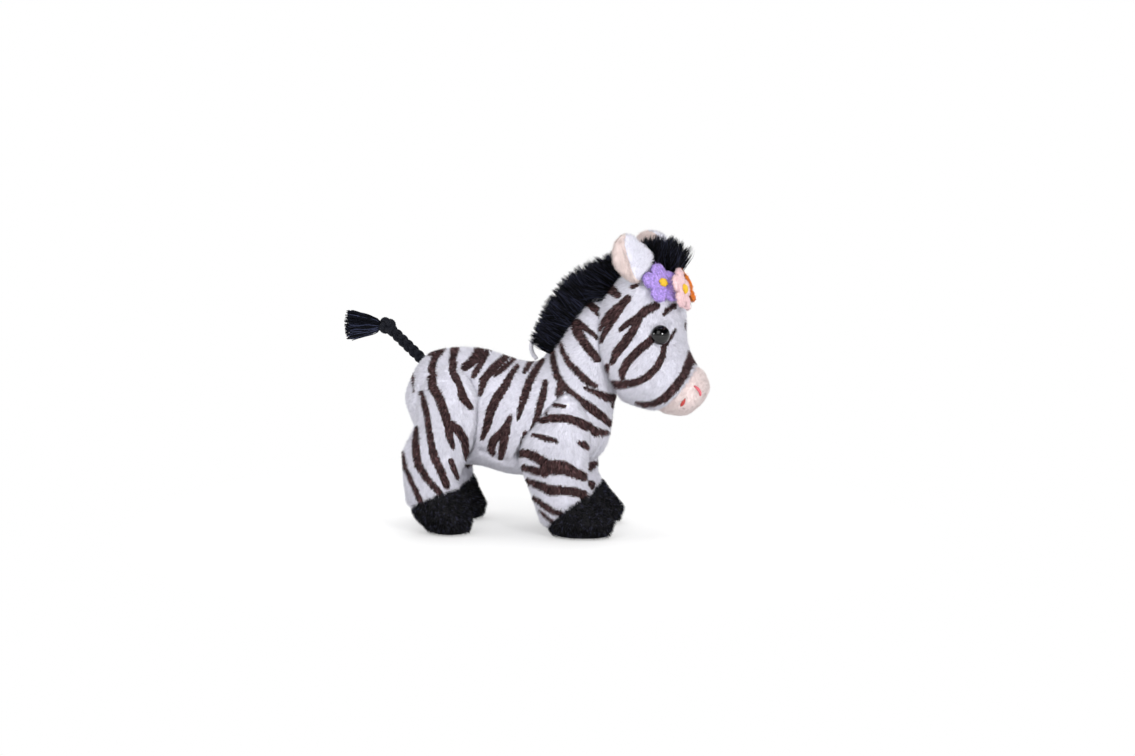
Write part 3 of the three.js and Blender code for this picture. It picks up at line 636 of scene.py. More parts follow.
def felt(name, colour):
    """Pressed wool felt: matt and cloudy, with fine matted fibres."""
    return surface(
        f"wool_felt_{name}", grain=0.9 * MM, rough=(0.8, 0.95), bump=0.25 * MM, colour=colour, variation=0.62,
        swirl=3.0, **{"Sheen Weight": 0.3})


def yarn(name, colour):
    """Spun acrylic yarn or cotton thread: soft gloss broken by its fibres."""
    return surface(
        f"spun_yarn_{name}", grain=0.25 * MM, rough=(0.5, 0.75), bump=0.05 * MM, colour=colour, variation=0.6,
        **{"Sheen Weight": 0.03, "Specular IOR Level": 0.15})


def moulded(name, colour, rough):
    """Injection moulded plastic: smooth, with a clear glint."""
    return surface(
        f"moulded_acrylic_{name}", grain=4 * MM, rough=rough, bump=0.002 * MM, colour=colour,
        **{"Specular IOR Level": 0.45})


# Meshes

def mesh_object(name, points, faces, materials, slots=None):
    """An object from points and faces, which all have as many corners as the array is wide."""
    points = np.ascontiguousarray(points, np.float32)
    faces = np.ascontiguousarray(faces, np.int32)
    mesh = bpy.data.meshes.new(name)
    mesh.vertices.add(len(points))
    mesh.vertices.foreach_set("co", points.ravel())
    mesh.loops.add(faces.size)
    mesh.loops.foreach_set("vertex_index", faces.ravel())
    mesh.polygons.add(len(faces))
    mesh.polygons.foreach_set("loop_start", np.arange(len(faces), dtype=np.int32) * faces.shape[1])
    for entry in materials:
        mesh.materials.append(entry)
    if slots is not None:
        mesh.polygons.foreach_set("material_index", np.ascontiguousarray(slots, np.int32))
    mesh.update(calc_edges=True)
    mesh.polygons.foreach_set("use_smooth", np.full(len(faces), True))
    made = bpy.data.objects.new(name, mesh)
    bpy.context.collection.objects.link(made)
    return made


def rows_of(items, key, kind=np.float32):
    """One value with three parts from each item, as rows."""
    found = np.empty(len(items) * 3, kind)
    items.foreach_get(key, found)
    return found.reshape(-1, 3)


def points_of(obj):
    return rows_of(obj.data.vertices, "co").astype(float)


def normals_of(obj):
    return rows_of(obj.data.vertex_normals, "vector").astype(float)


def triangles_of(obj):
    obj.data.calc_loop_triangles()
    return rows_of(obj.data.loop_triangles, "vertices", np.int32)


def set_points(obj, points):
    obj.data.vertices.foreach_set("co", np.ascontiguousarray(points, np.float32).ravel())
    obj.data.update()


@contextmanager
def reworked(obj):
    """An object's mesh, opened for edits and then written back."""
    work = bmesh.new()
    work.from_mesh(obj.data)
    yield work
    work.to_mesh(obj.data)
    work.free()


def tree_of(obj):
    return BVHTree.FromPolygons(points_of(obj).tolist(), triangles_of(obj).tolist())


def smoothed(points, edges, rounds):
    """Evens out a surface and keeps its volume."""
    count = np.bincount(edges.ravel(), minlength=len(points))[:, None]
    for turn in range(2 * rounds):
        total = np.empty_like(points)
        for axis in range(3):
            near = np.bincount(edges[:, 0], points[edges[:, 1], axis], len(points))
            total[:, axis] = near + np.bincount(edges[:, 1], points[edges[:, 0], axis], len(points))
        step = SMOOTH_IN if turn % 2 == 0 else SMOOTH_OUT
        points = points + step * (total / count - points)
    return points


def stuffed_form(name, nodes, rounds, voxel=None):
    """One even skin round all of the named solids, on a fine grid."""
    gathered = bmesh.new()
    for each in nodes:
        gathered.from_mesh(frame["nodes"][each].data)
    rough = bpy.data.meshes.new(name + "_rough")
    gathered.to_mesh(rough)
    gathered.free()
    made = bpy.data.objects.new(name, rough)
    bpy.context.collection.objects.link(made)
    evened(made, voxel or sizes().voxel)
    keep_outer(made)
    soften(made, rounds)
    return made


def through(points, t):
    """A smooth curve through points, each an equal share of the way."""
    points = np.asarray(points, float)
    ends = np.concatenate((2 * points[:1] - points[1:2], points, 2 * points[-1:] - points[-2:-1]))
    whole = np.clip(t, 0, 1) * (len(points) - 1)
    i = np.minimum(whole.astype(int), len(points) - 2)
    u = (whole - i)[:, None]
    a, b, c, d = (ends[i + k] for k in range(4))
    return 0.5 * (2 * b + (c - a) * u + (2 * a - 5 * b + 4 * c - d) * u ** 2
                  + (3 * b - a - 3 * c + d) * u ** 3)


def curve_through(points, count):
    """Points at even steps along a smooth curve through the given ones."""
    found = through(points, np.linspace(0, 1, 12 * (len(points) - 1) + 1))
    far = np.concatenate(((0.0,), np.cumsum(np.linalg.norm(np.diff(found, axis=0), axis=1))))
    even = np.linspace(0, far[-1], count)
    return np.stack([np.interp(even, far, found[:, axis]) for axis in range(3)], -1)


def circle(count):
    """Angles at even steps round a circle."""
    return np.arange(count) * 2 * math.pi / count


def ring_quads(rings, sides):
    """Four-cornered faces between closed rings of points."""
    step, side = np.meshgrid(np.arange(rings - 1), np.arange(sides), indexing="ij")
    here, beside = step * sides + side, step * sides + (side + 1) % sides
    return np.stack((here, beside, beside + sides, here + sides), -1).reshape(-1, 4)


def ring_faces(rings, sides, flip=False):
    """Triangles of a form of rings that is closed by two end points, which follow the rings."""
    quads = ring_quads(rings, sides)
    around = np.arange(sides)
    after = (around + 1) % sides
    if flip:
        quads = quads[:, (0, 3, 2, 1)]
        around, after = after, around
    end = np.full(sides, rings * sides)
    base = (rings - 1) * sides
    return np.concatenate((
        quads[:, (0, 1, 2)], quads[:, (0, 2, 3)],
        np.stack((end, after, around), -1), np.stack((end + 1, base + around, base + after), -1)))


def lofted(name, sections, bluntness):
    """A closed form between an upper and a lower edge, drawn in to a point at both ends."""
    t = (1 - np.cos(np.linspace(*LOFT_SPAN, LOFT_RINGS) * math.pi)) / 2
    upper, lower = (through([section[edge] for section in sections], t) for edge in (0, 1))
    half = through([(section[2],) for section in sections], t)
    inward = np.sqrt(1 - np.abs(2 * t - 1) ** bluntness)[:, None]
    turn = circle(LOFT_SIDES)
    middle = (upper + lower) / 2
    axis = (upper - lower) / 2 * inward
    flat = middle[:, None] + axis[:, None] * np.cos(turn)[None, :, None]
    across = (half * inward) * np.sin(turn)[None]
    points = np.stack((flat[..., 0], across, flat[..., 1]), -1).reshape(-1, 3)
    ends = points[:LOFT_SIDES].mean(0)[None], points[-LOFT_SIDES:].mean(0)[None]
    points = np.concatenate((points, *ends)) * MM
    made = mesh_object(name, points, ring_faces(LOFT_RINGS, LOFT_SIDES), [])
    with reworked(made) as work:
        bmesh.ops.recalc_face_normals(work, faces=work.faces)
    return made


def turned_about(points, place, axis, angle):
    """Points turned about an axis through a place."""
    axis = unit(np.asarray(axis, float))
    off = points - place
    c, s = math.cos(angle), math.sin(angle)
    return place + off * c + np.cross(axis, off) * s + np.outer(off @ axis, axis) * (1 - c)


def share_between(points, start, end):
    """How far each point has gone over from one body to the next, as a blended piece does."""
    run = np.subtract(end, start)
    t = np.clip((points - start) @ run / (run @ run), 0, 1)
    return (t * t * (3 - 2 * t))[:, None]


def leg_rooms():
    """Every leg, a little grown, at rest and at both ends of its swing."""
    for end, _ in LEGS:
        x, z, _, _ = HIPS[end]
        hip = np.array((x, 0.0, z)) * MM
        for side in SIDES:
            for kind in ("leg", "hoof"):
                leg = bpy.data.objects[f"{end}_{side}_{kind}_plush"]
                points = points_of(leg) + normals_of(leg) * CLEAR
                share = share_between(points, *bend_of(end))
                for angle in (-SWING, 0.0, SWING):
                    swung = turned_about(points, hip, (0, 1, 0), angle)
                    yield points + share * (swung - points), triangles_of(leg)


def neck_rooms():
    """The neck, a little grown, as it lies in the head at rest and at the ends of the head's travel."""
    body = bpy.data.objects["body_plush"]
    points = points_of(body) + normals_of(body) * CLEAR
    share = share_between(points, *NECK_BEND)
    nod_axis = head_matrix() @ (0, 1, 0)
    for turn in (-TURN, 0.0, TURN):
        bent = points + share * (turned_about(points, NECK_BALL, (0, 0, 1), turn) - points)
        straight = turned_about(bent, NECK_BALL, (0, 0, 1), -turn)
        for nod in (NODS[0], 0.0, NODS[1]):
            yield turned_about(straight, NECK_BALL, nod_axis, -nod), triangles_of(body)


def hollow(obj, rooms):
    """Cuts rooms for its neighbours out of a stuffed form and draws its skin anew."""
    wad = frame["nodes"]["neck_wad"]
    parts = [*rooms, (points_of(wad) + normals_of(wad) * WAD_CLEAR, triangles_of(wad))]
    room = mesh_object("room", *joined(parts), [])
    evened(room, sizes().voxel)
    cut = obj.modifiers.new("Room", "BOOLEAN")
    cut.operation = "DIFFERENCE"
    cut.solver = "EXACT"
    cut.object = room
    bpy.context.view_layer.update()
    evened(obj, sizes().voxel)
    keep_outer(obj)
    bpy.data.objects.remove(room)


def evened(obj, voxel):
    """Draws an object's skin anew on an even grid, with the object's other modifiers in it."""
    remesh = obj.modifiers.new("Even skin", "REMESH")
    remesh.mode = "VOXEL"
    remesh.voxel_size = voxel
    rough = obj.data
    obj.data = bpy.data.meshes.new_from_object(obj.evaluated_get(bpy.context.evaluated_depsgraph_get()))
    obj.modifiers.clear()
    bpy.data.meshes.remove(rough)
    obj.data.polygons.foreach_set("use_smooth", np.full(len(obj.data.polygons), True))


def drawn_under(obj):
    """Moves a skin inwards by what its pile stands out."""
    set_points(obj, points_of(obj) - normals_of(obj) * UNDER_PILE)


def soften(obj, rounds):
    edges = np.array([edge.vertices[:] for edge in obj.data.edges])
    set_points(obj, smoothed(points_of(obj), edges, rounds))


def keep_outer(obj):
    """Drops what lies inside the largest closed skin."""
    with reworked(obj) as work:
        left = set(work.verts)
        islands = []
        while left:
            first = left.pop()
            island = {first}
            front = [first]
            while front:
                for edge in front.pop().link_edges:
                    for vert in edge.verts:
                        if vert in left:
                            left.discard(vert)
                            island.add(vert)
                            front.append(vert)
            islands.append(island)
        islands.sort(key=len)
        inner = [vert for island in islands[:-1] for vert in island]
        bmesh.ops.delete(work, geom=inner, context="VERTS")


def seam_plane(seam, turned=False):
    """A point of a straight seam and its normal, which points to the foot or the nose."""
    (x1, z1), (x2, z2) = seam
    place = np.array((x1, 0.0, z1)) * MM
    out = unit(np.array((z2 - z1, 0.0, x1 - x2)))
    if turned:
        turn = head_matrix()
        return turn @ (place - NECK_BALL) + NECK_BALL, turn @ out
    return place, out


def head_matrix():
    c, s = math.cos(HEAD_TURN), math.sin(HEAD_TURN)
    return np.array(((c, -s, 0.0), (s, c, 0.0), (0.0, 0.0, 1.0)))


def draw_in(obj, place, out, furrow):
    """Pulls a skin in along a seam, as stitches do."""
    depth, width = furrow
    points = points_of(obj)
    off = (points - place) @ out
    set_points(obj, points - normals_of(obj) * (depth * np.exp(-(off / width) ** 2))[:, None])


def cut_at(obj, name, place, out):
    """Cuts a closed skin in two along a seam; the new piece lies on the side of the normal."""
    other = obj.copy()
    other.data = obj.data.copy()
    other.name = name
    bpy.context.collection.objects.link(other)
    for piece, sign in ((obj, 1), (other, -1)):
        with reworked(piece) as work:
            whole = work.verts[:] + work.edges[:] + work.faces[:]
            bmesh.ops.bisect_plane(
                work, geom=whole, plane_co=place, plane_no=sign * out, clear_outer=True)
            rim = [edge for edge in work.edges if edge.is_boundary]
            bmesh.ops.holes_fill(work, edges=rim)
    return other


def bend_of(end):
    """The points between which the cloth at a hip goes over from the body to the leg."""
    x, _, high, low = HIPS[end]
    return (x * MM, 0.0, high * MM), (x * MM, 0.0, low * MM)


def dressed(obj, body, slot, nodes=(), materials=(), fill=None, bends=False):
    """Puts a finished piece on its body in place of its solids; one that bends goes over from the torso."""
    for entry in materials:
        obj.data.materials.append(entry)
    if bends and body == "neck":
        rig.blend(obj, "torso", body, *map(tuple, NECK_BEND))
    elif bends:
        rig.blend(obj, "torso", body, *bend_of(body.split("_")[0]))
    else:
        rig.ride(obj, body)
    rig.slot(obj, slot)
    if nodes:
        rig.replaces(obj, *nodes)
    if fill is not None:
        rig.padded(obj, fill)
    return obj


def frames_along(path):
    """Two directions square to a path at each of its points, carried along it without a twist."""
    ahead = unit(np.gradient(path, axis=0))
    across = np.cross(ahead[0], (0.3, 0.9, 0.2))
    frames = []
    for direction in ahead:
        across = unit(across - direction * (across @ direction))
        frames.append(across)
    across = np.array(frames)
    return across, np.cross(ahead, across)


def tube(path, radius, sides):
    """Points and triangles of a closed tube along a path."""
    across, up = frames_along(path)
    turn = circle(sides)
    ring = np.cos(turn)[None, :, None] * across[:, None] + np.sin(turn)[None, :, None] * up[:, None]
    points = path[:, None] + ring * radius
    points = np.concatenate((points.reshape(-1, 3), path[:1], path[-1:]))
    return points, ring_faces(len(path), sides)


def joined(parts):
    """Several sets of points and faces as one."""
    points = []
    faces = []
    start = 0
    for some_points, some_faces in parts:
        points.append(some_points)
        faces.append(some_faces + start)
        start += len(some_points)
    return np.concatenate(points), np.concatenate(faces)


def plied(path, plies, spread, radius, turns):
    """Yarns twisted about a path."""
    across, up = frames_along(path)
    parts = []
    for ply in range(plies):
        angle = np.linspace(0, 2 * math.pi * turns, len(path)) + 2 * math.pi * ply / plies
        lane = path + spread * (np.cos(angle)[:, None] * across + np.sin(angle)[:, None] * up)
        parts.append(tube(lane, radius, PLY_SIDES))
    return joined(parts)


def hairs(name, roots, middles, tips, materials, slots, radius, steps, facing=None):
    """Closed three-sided hairs, bent to a point; with facing they take light as the skin does."""
    count = len(roots)
    along = np.arange(steps) / steps
    t = along[None, :, None]
    line = (1 - t) ** 2 * roots[:, None] + 2 * t * (1 - t) * middles[:, None] + t ** 2 * tips[:, None]
    ahead = unit(tips - roots)
    side = unit(np.cross(ahead, np.where(np.abs(ahead[:, 2:3]) < 0.9, (0.0, 0.0, 1.0), (1.0, 0.0, 0.0))))
    up = np.cross(ahead, side)
    turn = chance(name + "_turn").random(count)[:, None] * 2.1 + circle(3)[None]
    ring = np.cos(turn)[..., None] * side[:, None] + np.sin(turn)[..., None] * up[:, None]
    thick = radius * (1 - along ** 1.5)[None, :, None, None]
    rings = line[:, :, None] + ring[:, None] * thick
    points = np.concatenate((rings.reshape(count, steps * 3, 3), tips[:, None]), 1)
    pattern = [(2, 1, 0)]
    for step in range(steps - 1):
        for corner in range(3):
            here, beside = step * 3 + corner, step * 3 + (corner + 1) % 3
            pattern += [(here, beside, beside + 3), (here, beside + 3, here + 3)]
    last = (steps - 1) * 3
    pattern += [(last + corner, last + (corner + 1) % 3, steps * 3) for corner in range(3)]
    pattern = np.array(pattern)
    faces = pattern[None] + (np.arange(count) * (steps * 3 + 1))[:, None, None]
    slots = np.repeat(slots, len(pattern))
    made = mesh_object(name, points.reshape(-1, 3), faces.reshape(-1, 3), materials, slots)
    if facing is not None:
        layer = made.data.attributes.new("custom_normal", "FLOAT_VECTOR", "POINT")
        shared = np.repeat(facing, steps * 3 + 1, axis=0).astype(np.float32)
        layer.data.foreach_set("vector", shared.ravel())
    return made


# The print and the painted crease shade

def camera_place():
    flat = math.cos(ELEVATION)
    away = Vector((math.sin(AZIMUTH) * flat, -math.cos(AZIMUTH) * flat, math.sin(ELEVATION)))
    return AIM + DISTANCE * away


def looking(place, aim):
    """The turn with which a camera or lamp at a place points at an aim."""
    return (aim - place).to_track_quat("-Z", "Y")


def on_photo(points, turned):
    """Where the camera sees points in the photograph, once the left side is mirrored to the right."""
    turn = head_matrix() if turned else np.eye(3)
    local = (points - NECK_BALL) @ turn
    local[:, 1] = -np.abs(local[:, 1])
    place = camera_place()
    look = looking(place, AIM).to_matrix()
    seen = (local @ turn.T + NECK_BALL - np.array(place)) @ np.array(look)
    pixels = LENS / SENSOR * PHOTO_WIDTH * seen[:, :2] / -seen[:, 2:]
    return np.array((PHOTO_WIDTH / 2, PHOTO_HEIGHT / 2)) + pixels * (1, -1)


def beyond_print_and_shade(points, stripes, turned):
    """How many pixels each point lies outside the nearest drawn line, of print and painted crease shade alike; inside
    one it is negative.
    """
    flat = on_photo(points, turned)
    best = np.full(len(flat), 100.0)
    for stripe in stripes:
        for (*start, first), (*end, last) in zip(stripe, stripe[1:]):
            run = np.subtract(end, start)
            t = np.clip((flat - start) @ run / (run @ run), 0, 1)
            off = np.linalg.norm(flat - start - t[:, None] * run, axis=1)
            best = np.minimum(best, off - (first + SPREAD + (last - first) * t) / 2)
    return best


# Pile

def areas_of(points, triangles):
    a, b, c = (points[triangles[:, i]] for i in range(3))
    return np.linalg.norm(np.cross(b - a, c - a), axis=1) / 2


def area_of(obj):
    return areas_of(points_of(obj), triangles_of(obj)).sum()


def scattered(obj, count, rng):
    """Random places on a skin and its normals there."""
    points, normals, triangles = points_of(obj), normals_of(obj), triangles_of(obj)
    area = areas_of(points, triangles)
    chosen = rng.choice(len(triangles), count, p=area / area.sum())
    u, v = rng.random(count), rng.random(count)
    over = u + v > 1
    u[over], v[over] = 1 - u[over], 1 - v[over]
    weights = np.stack((1 - u - v, u, v), -1)[..., None]
    corners = triangles[chosen]
    return (points[corners] * weights).sum(1), unit((normals[corners] * weights).sum(1))


def laid_flat(ways, normals):
    """Directions turned into the plane of a skin."""
    return unit(ways - normals * (ways * normals).sum(1, keepdims=True))


def clear_of(roots, tips, trees):
    """Which of the fibres meet none of the other pieces."""
    free = np.ones(len(roots), bool)
    for i, (root, tip) in enumerate(zip(roots, tips)):
        start = Vector(root)
        run = Vector(tip) - start
        reach = run.length
        run.normalize()
        for low, high, tree in trees:
            if (root < low).any() or (root > high).any():
                continue
            if tree.ray_cast(start, run, reach)[0] is not None:
                free[i] = False
                break
    return free


def tinted(cloth, roots, rng, wide=CLUMP):
    """A tint for each fibre; those that stand in one clump share it."""
    share = np.array([part for part, _ in TINTS[cloth]])
    _, clump = np.unique(np.floor(roots / wide).astype(int), axis=0, return_inverse=True)
    return rng.choice(len(share), clump.max() + 1, p=share / share.sum())[clump.ravel()]


@dataclass
class Cloth:
    """How the pile of one skin grows; the nap is the way its fibres lie."""
    skin: str
    body: str
    slot: str
    cloth: str
    length: float
    lean: float
    nap: tuple
    stripes: str = ""
    curl: float = 0.25
    dense: float = 1.0
    split: bool = False


def cloths():
    """Each plush skin with its pile."""
    striped = ("striped_plush", "white", sizes().pile, LONG_LEAN)
    pink = ("pink_plush", "pink", sizes().short_pile, SHORT_LEAN)
    black = ("black_plush", "black", sizes().hoof_pile, HOOF_LEAN)
    found = [
        Cloth("body_plush", "neck", *striped, (-0.55, 0, -0.8), "body", split=True),
        Cloth("head_plush", "head", *striped, (-0.65, 0, -0.75), "head"),
        Cloth("muzzle_plush", "head", *pink, (-0.3, 0, -1), curl=0.5, dense=1.3),
    ]
    for end, _ in LEGS:
        for side in SIDES:
            leg, body = f"{end}_{side}", f"{end}_{side}_leg"
            found.append(Cloth(leg + "_leg_plush", body, *striped, (-0.1, 0, -1), end))
            found.append(Cloth(leg + "_hoof_plush", body, *black, (0.2, 0, -1), curl=0.9))
    for side in SIDES:
        for layer, cloth, nap in (("front", "white", (-0.3, 0, 1)), ("back", "peach", (-0.35, 0, -1))):
            kind = (f"{cloth}_plush", cloth, sizes().short_pile, SHORT_LEAN)
            found.append(Cloth(f"ear_{layer}_{side}_plush", f"ear_{side}", *kind, nap, dense=1.3))
    return found


def grow(piece, trees):
    """Covers one skin with pile that leans along the nap and leaves its neighbours free."""
    rng = chance(piece.skin)
    skin = bpy.data.objects[piece.skin]
    turned = piece.body == "head"
    stripes = PRINT_AND_CREASE_SHADE.get(piece.stripes)
    thin = QUICK_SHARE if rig.quick() else 1.0
    count = int(area_of(skin) / MM ** 2 * sizes().density * piece.dense * thin)
    roots, normals = scattered(skin, count, rng)
    nap = laid_flat(np.array(piece.nap, float) + rng.normal(0, piece.curl, (count, 3)), normals)
    lean = np.radians(piece.lean + rng.normal(0, LEAN_VARIES, count))[:, None]
    length = (piece.length * rng.uniform(*LENGTH_VARIES, count))[:, None]
    tips = roots + length * (normals * np.cos(lean) + nap * np.sin(lean))
    bend = MIDDLE_RISE * normals * np.cos(lean) + MIDDLE_LEAN * nap * np.sin(lean)
    middles = roots + length * bend
    roots = roots - ROOT_DEPTH * normals
    free = (tips[:, 2] > LOWEST_TIP) & clear_of(roots + TEST_START * normals, tips, trees)
    slots = tinted(piece.cloth, roots, rng)
    materials = pile_tints(piece.cloth)
    # The lines drawn brown are the print, and those along the haunch and front leg creases are painted shade.
    if stripes:
        centres = np.array([face.center for face in skin.data.polygons])
        marked = beyond_print_and_shade(centres, stripes, turned) < 0
        skin.data.polygons.foreach_set("material_index", marked.astype(np.int32))
        skin.data.update()
        ragged = rng.normal(0, PRINT_RAGGED, count)
        sampled = (1 - PRINT_HEIGHT) * roots + PRINT_HEIGHT * tips
        marked = beyond_print_and_shade(sampled, stripes, turned) + ragged < 0
        slots[marked] = len(materials) + tinted("brown", roots[marked], rng)
        materials = materials + pile_tints("brown")
    parts = {"": free}
    if piece.split:
        right, rear = roots[:, 1] < 0, roots[:, 0] < 0
        parts = {"_rear_right": free & rear & right, "_rear_left": free & rear & ~right,
                 "_fore_right": free & ~rear & right, "_fore_left": free & ~rear & ~right}
    facing = unit(normals + FACING_LEAN * nap + rng.normal(0, FACING_VARIES, (count, 3)))
    for suffix, chosen in parts.items():
        made = hairs(
            piece.skin.replace("plush", "pile") + suffix, roots[chosen], middles[chosen], tips[chosen],
            materials, slots[chosen], radius=sizes().fibre / 2, steps=1, facing=facing[chosen])
        dressed(made, piece.body, piece.slot, bends=piece.skin.endswith(("leg_plush", "body_plush")))


# Operators

class ZEBRA_OT_stage(bpy.types.Operator):
    """Camera, soft studio light and a pale floor"""
    bl_idname = "zebra.stage"
    bl_label = "Stage"

    def execute(self, context):
        scene = context.scene
        scene.view_settings.view_transform = "Standard"
        lens = bpy.data.cameras.new("camera")
        lens.lens = LENS
        lens.sensor_width = SENSOR
        scene.camera = self.placed("camera", lens, camera_place(), AIM)
        for name, place, size, power in (
            ("key_light", (-0.2, -0.9, 0.75), 0.7, 3.2),
            ("right_light", (0.62, -0.78, 0.4), 0.24, 5.0),
            ("left_light", (-0.92, -0.32, 0.3), 0.16, 1.6),
            ("top_light", (0.0, 0.25, 1.1), 0.9, 5.2),
            ("back_light", (0.1, 1.0, 0.6), 0.8, 2.4),
        ):
            lamp = bpy.data.lights.new(name, "AREA")
            lamp.size = size
            lamp.energy = power
            self.placed(name, lamp, Vector(place), LIT)
        self.light_world(scene)
        corners = np.array(((-1, -1), (1, -1), (1, 1), (-1, 1))) * FLOOR_REACH
        points = np.c_[corners, np.zeros(len(corners))]
        floor = mesh_object("floor", points, np.array(((0, 1, 2, 3),)), [self.floor_finish()])
        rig.stage(floor)
        return {"FINISHED"}

    def placed(self, name, data, place, aim):
        """A camera or lamp at a place, pointed at an aim."""
        made = bpy.data.objects.new(name, data)
        made.location = place
        made.rotation_euler = looking(place, aim).to_euler()
        bpy.context.scene.collection.objects.link(made)
        return made

    def light_world(self, scene):
        """White behind the object and softer as light; a gloss sees white low down and a dark ceiling."""
        world = scene.world or bpy.data.worlds.new("studio")
        scene.world = world
        tree = bare_tree(world)
        path = node(tree, "ShaderNodeLightPath")
        clear = node(tree, "ShaderNodeMath", {
            0: path.outputs["Is Camera Ray"], 1: path.outputs["Is Transmission Ray"]}, operation="MAXIMUM")
        plain = node(tree, "ShaderNodeMapRange", {"Value": clear.outputs[0], "To Min": 0.65, "To Max": 1.0})
        place = node(tree, "ShaderNodeTexCoord").outputs["Generated"]
        way = node(tree, "ShaderNodeSeparateXYZ", {0: place})
        ceiling = node(tree, "ShaderNodeMapRange", {
            "Value": way.outputs["Z"], "From Min": 0.1, "From Max": 0.35, "To Min": 0.35, "To Max": -0.63})
        level = node(tree, "ShaderNodeMath", {
            0: path.outputs["Is Glossy Ray"], 1: ceiling.outputs["Result"], 2: plain.outputs["Result"],
        }, operation="MULTIPLY_ADD")
        sky = node(tree, "ShaderNodeBackground", {"Color": (1, 1, 1, 1), "Strength": level.outputs[0]})
        node(tree, "ShaderNodeOutputWorld", {"Surface": sky.outputs["Background"]})

    def floor_finish(self):
        """White paper, which fades into the white behind it away from the object."""
        made = bpy.data.materials.new("white_paper")
        tree = bare_tree(made)
        paper = node(tree, "ShaderNodeBsdfDiffuse", {"Color": (0.93, 0.93, 0.93, 1)})
        glow = node(tree, "ShaderNodeEmission", {"Color": (1, 1, 1, 1), "Strength": 1.0})
        place = node(tree, "ShaderNodeNewGeometry").outputs["Position"]
        reach = node(tree, "ShaderNodeVectorMath", {0: place}, operation="LENGTH").outputs["Value"]
        fade = node(tree, "ShaderNodeMapRange", {
            "Value": reach, "From Min": 0.045, "From Max": 0.15, "To Min": 0.4,
        }, interpolation_type="SMOOTHSTEP")
        path = node(tree, "ShaderNodeLightPath")
        shown = node(tree, "ShaderNodeMath", {
            0: fade.outputs["Result"], 1: path.outputs["Is Camera Ray"]}, operation="MULTIPLY")
        mixed = node(tree, "ShaderNodeMixShader", {
            0: shown.outputs[0], 1: paper.outputs["BSDF"], 2: glow.outputs["Emission"]})
        node(tree, "ShaderNodeOutputMaterial", {"Surface": mixed.outputs["Shader"]})
        return made


class ZEBRA_OT_hang_loop(bpy.types.Operator):
    """A twisted cord sewn into the back seam at the end of the mane"""
    bl_idname = "zebra.hang_loop"
    bl_label = "Hang loop"

    def execute(self, context):
        path = curve_through(np.array(LOOP) * MM + LOOP_FOOT, 90)
        points, faces = plied(path, plies=3, spread=0.42 * MM, radius=0.44 * MM, turns=9)
        made = mesh_object("hang_loop_cord", points, faces, [yarn("pale_cord", colours().cord)])
        dressed(made, "torso", "loop_cord", ["hang_loop"])
        length = float(np.linalg.norm(np.diff(path, axis=0), axis=1).sum())
        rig.cord(made, path[0], length, 1.7 * MM, "object", stiffness="limp", lay="loose", path=path)
        return {"FINISHED"}


class ZEBRA_OT_body(bpy.types.Operator):
    """The stuffed body and neck, and the wad of stuffing that the head sits on"""
    bl_idname = "zebra.body"
    bl_label = "Body"

    def execute(self, context):
        nodes = ["belly_gusset", "body_panel_right", "body_panel_left", "body_stuffing"]
        body = lofted("body_plush", BODY, BODY_BLUNTNESS)
        drawn_under(body)
        hollow(body, leg_rooms())
        soften(body, rounds=8)
        self.sew_gusset(body)
        dressed(body, "neck", "striped_plush", nodes, striped_backing(), fill=0.8, bends=True)
        wad = stuffed_form("neck_stuffing", ["neck_wad"], rounds=6)
        points = points_of(wad)
        lumps = chance("neck_stuffing").normal(0, WAD_LUMPS, len(points))
        set_points(wad, points + normals_of(wad) * (lumps - WAD_UNDER)[:, None])
        dressed(wad, "neck", "fibre", ["neck_wad"], [backing("fibre")], fill=0.7)
        return {"FINISHED"}

    def sew_gusset(self, body):
        """Pulls the cloth in along the two seams of the belly gusset."""
        points, normals = points_of(body), normals_of(body)
        along, half = np.array(GUSSET, float).T * MM
        off = np.abs(points[:, 1]) - np.interp(points[:, 0], along, half)
        below = (normals[:, 2] < GUSSET_FACING) & (points[:, 2] < GUSSET_TOP)
        depth, width = GUSSET_FURROW
        depth = np.where(below, depth * np.exp(-(off / width) ** 2), 0.0)
        set_points(body, points - normals * depth[:, None])


class ZEBRA_OT_head(bpy.types.Operator):
    """The stuffed head with the muzzle sewn on in front"""
    bl_idname = "zebra.head"
    bl_label = "Head and muzzle"

    def execute(self, context):
        nodes = ["head_panel_right", "head_panel_left", "head_stuffing"]
        head = lofted("head_plush", HEAD, HEAD_BLUNTNESS)
        set_points(head, (points_of(head) - NECK_BALL) @ head_matrix().T + NECK_BALL)
        drawn_under(head)
        hollow(head, neck_rooms())
        soften(head, rounds=10)
        place, out = seam_plane(MUZZLE_SEAM, turned=True)
        self.sweep(head, out, -1)
        draw_in(head, place, out, MUZZLE_FURROW)
        muzzle = cut_at(head, "muzzle_plush", place, out)
        self.sweep(head, out, 1)
        self.sweep(muzzle, out, 1)
        dressed(head, "head", "striped_plush", nodes, striped_backing(), fill=0.85)
        dressed(muzzle, "head", "pink_plush", ["muzzle"], [backing("pink")], fill=0.85)
        return {"FINISHED"}

    def sweep(self, piece, out, sign):
        """Shifts the cheeks along the nose, so that a straight cut between two shifts sweeps forward."""
        points = points_of(piece)
        side = np.abs((points - NECK_BALL) @ head_matrix()[:, 1])
        set_points(piece, points + np.outer(sign * MUZZLE_SWEEP * side, out))


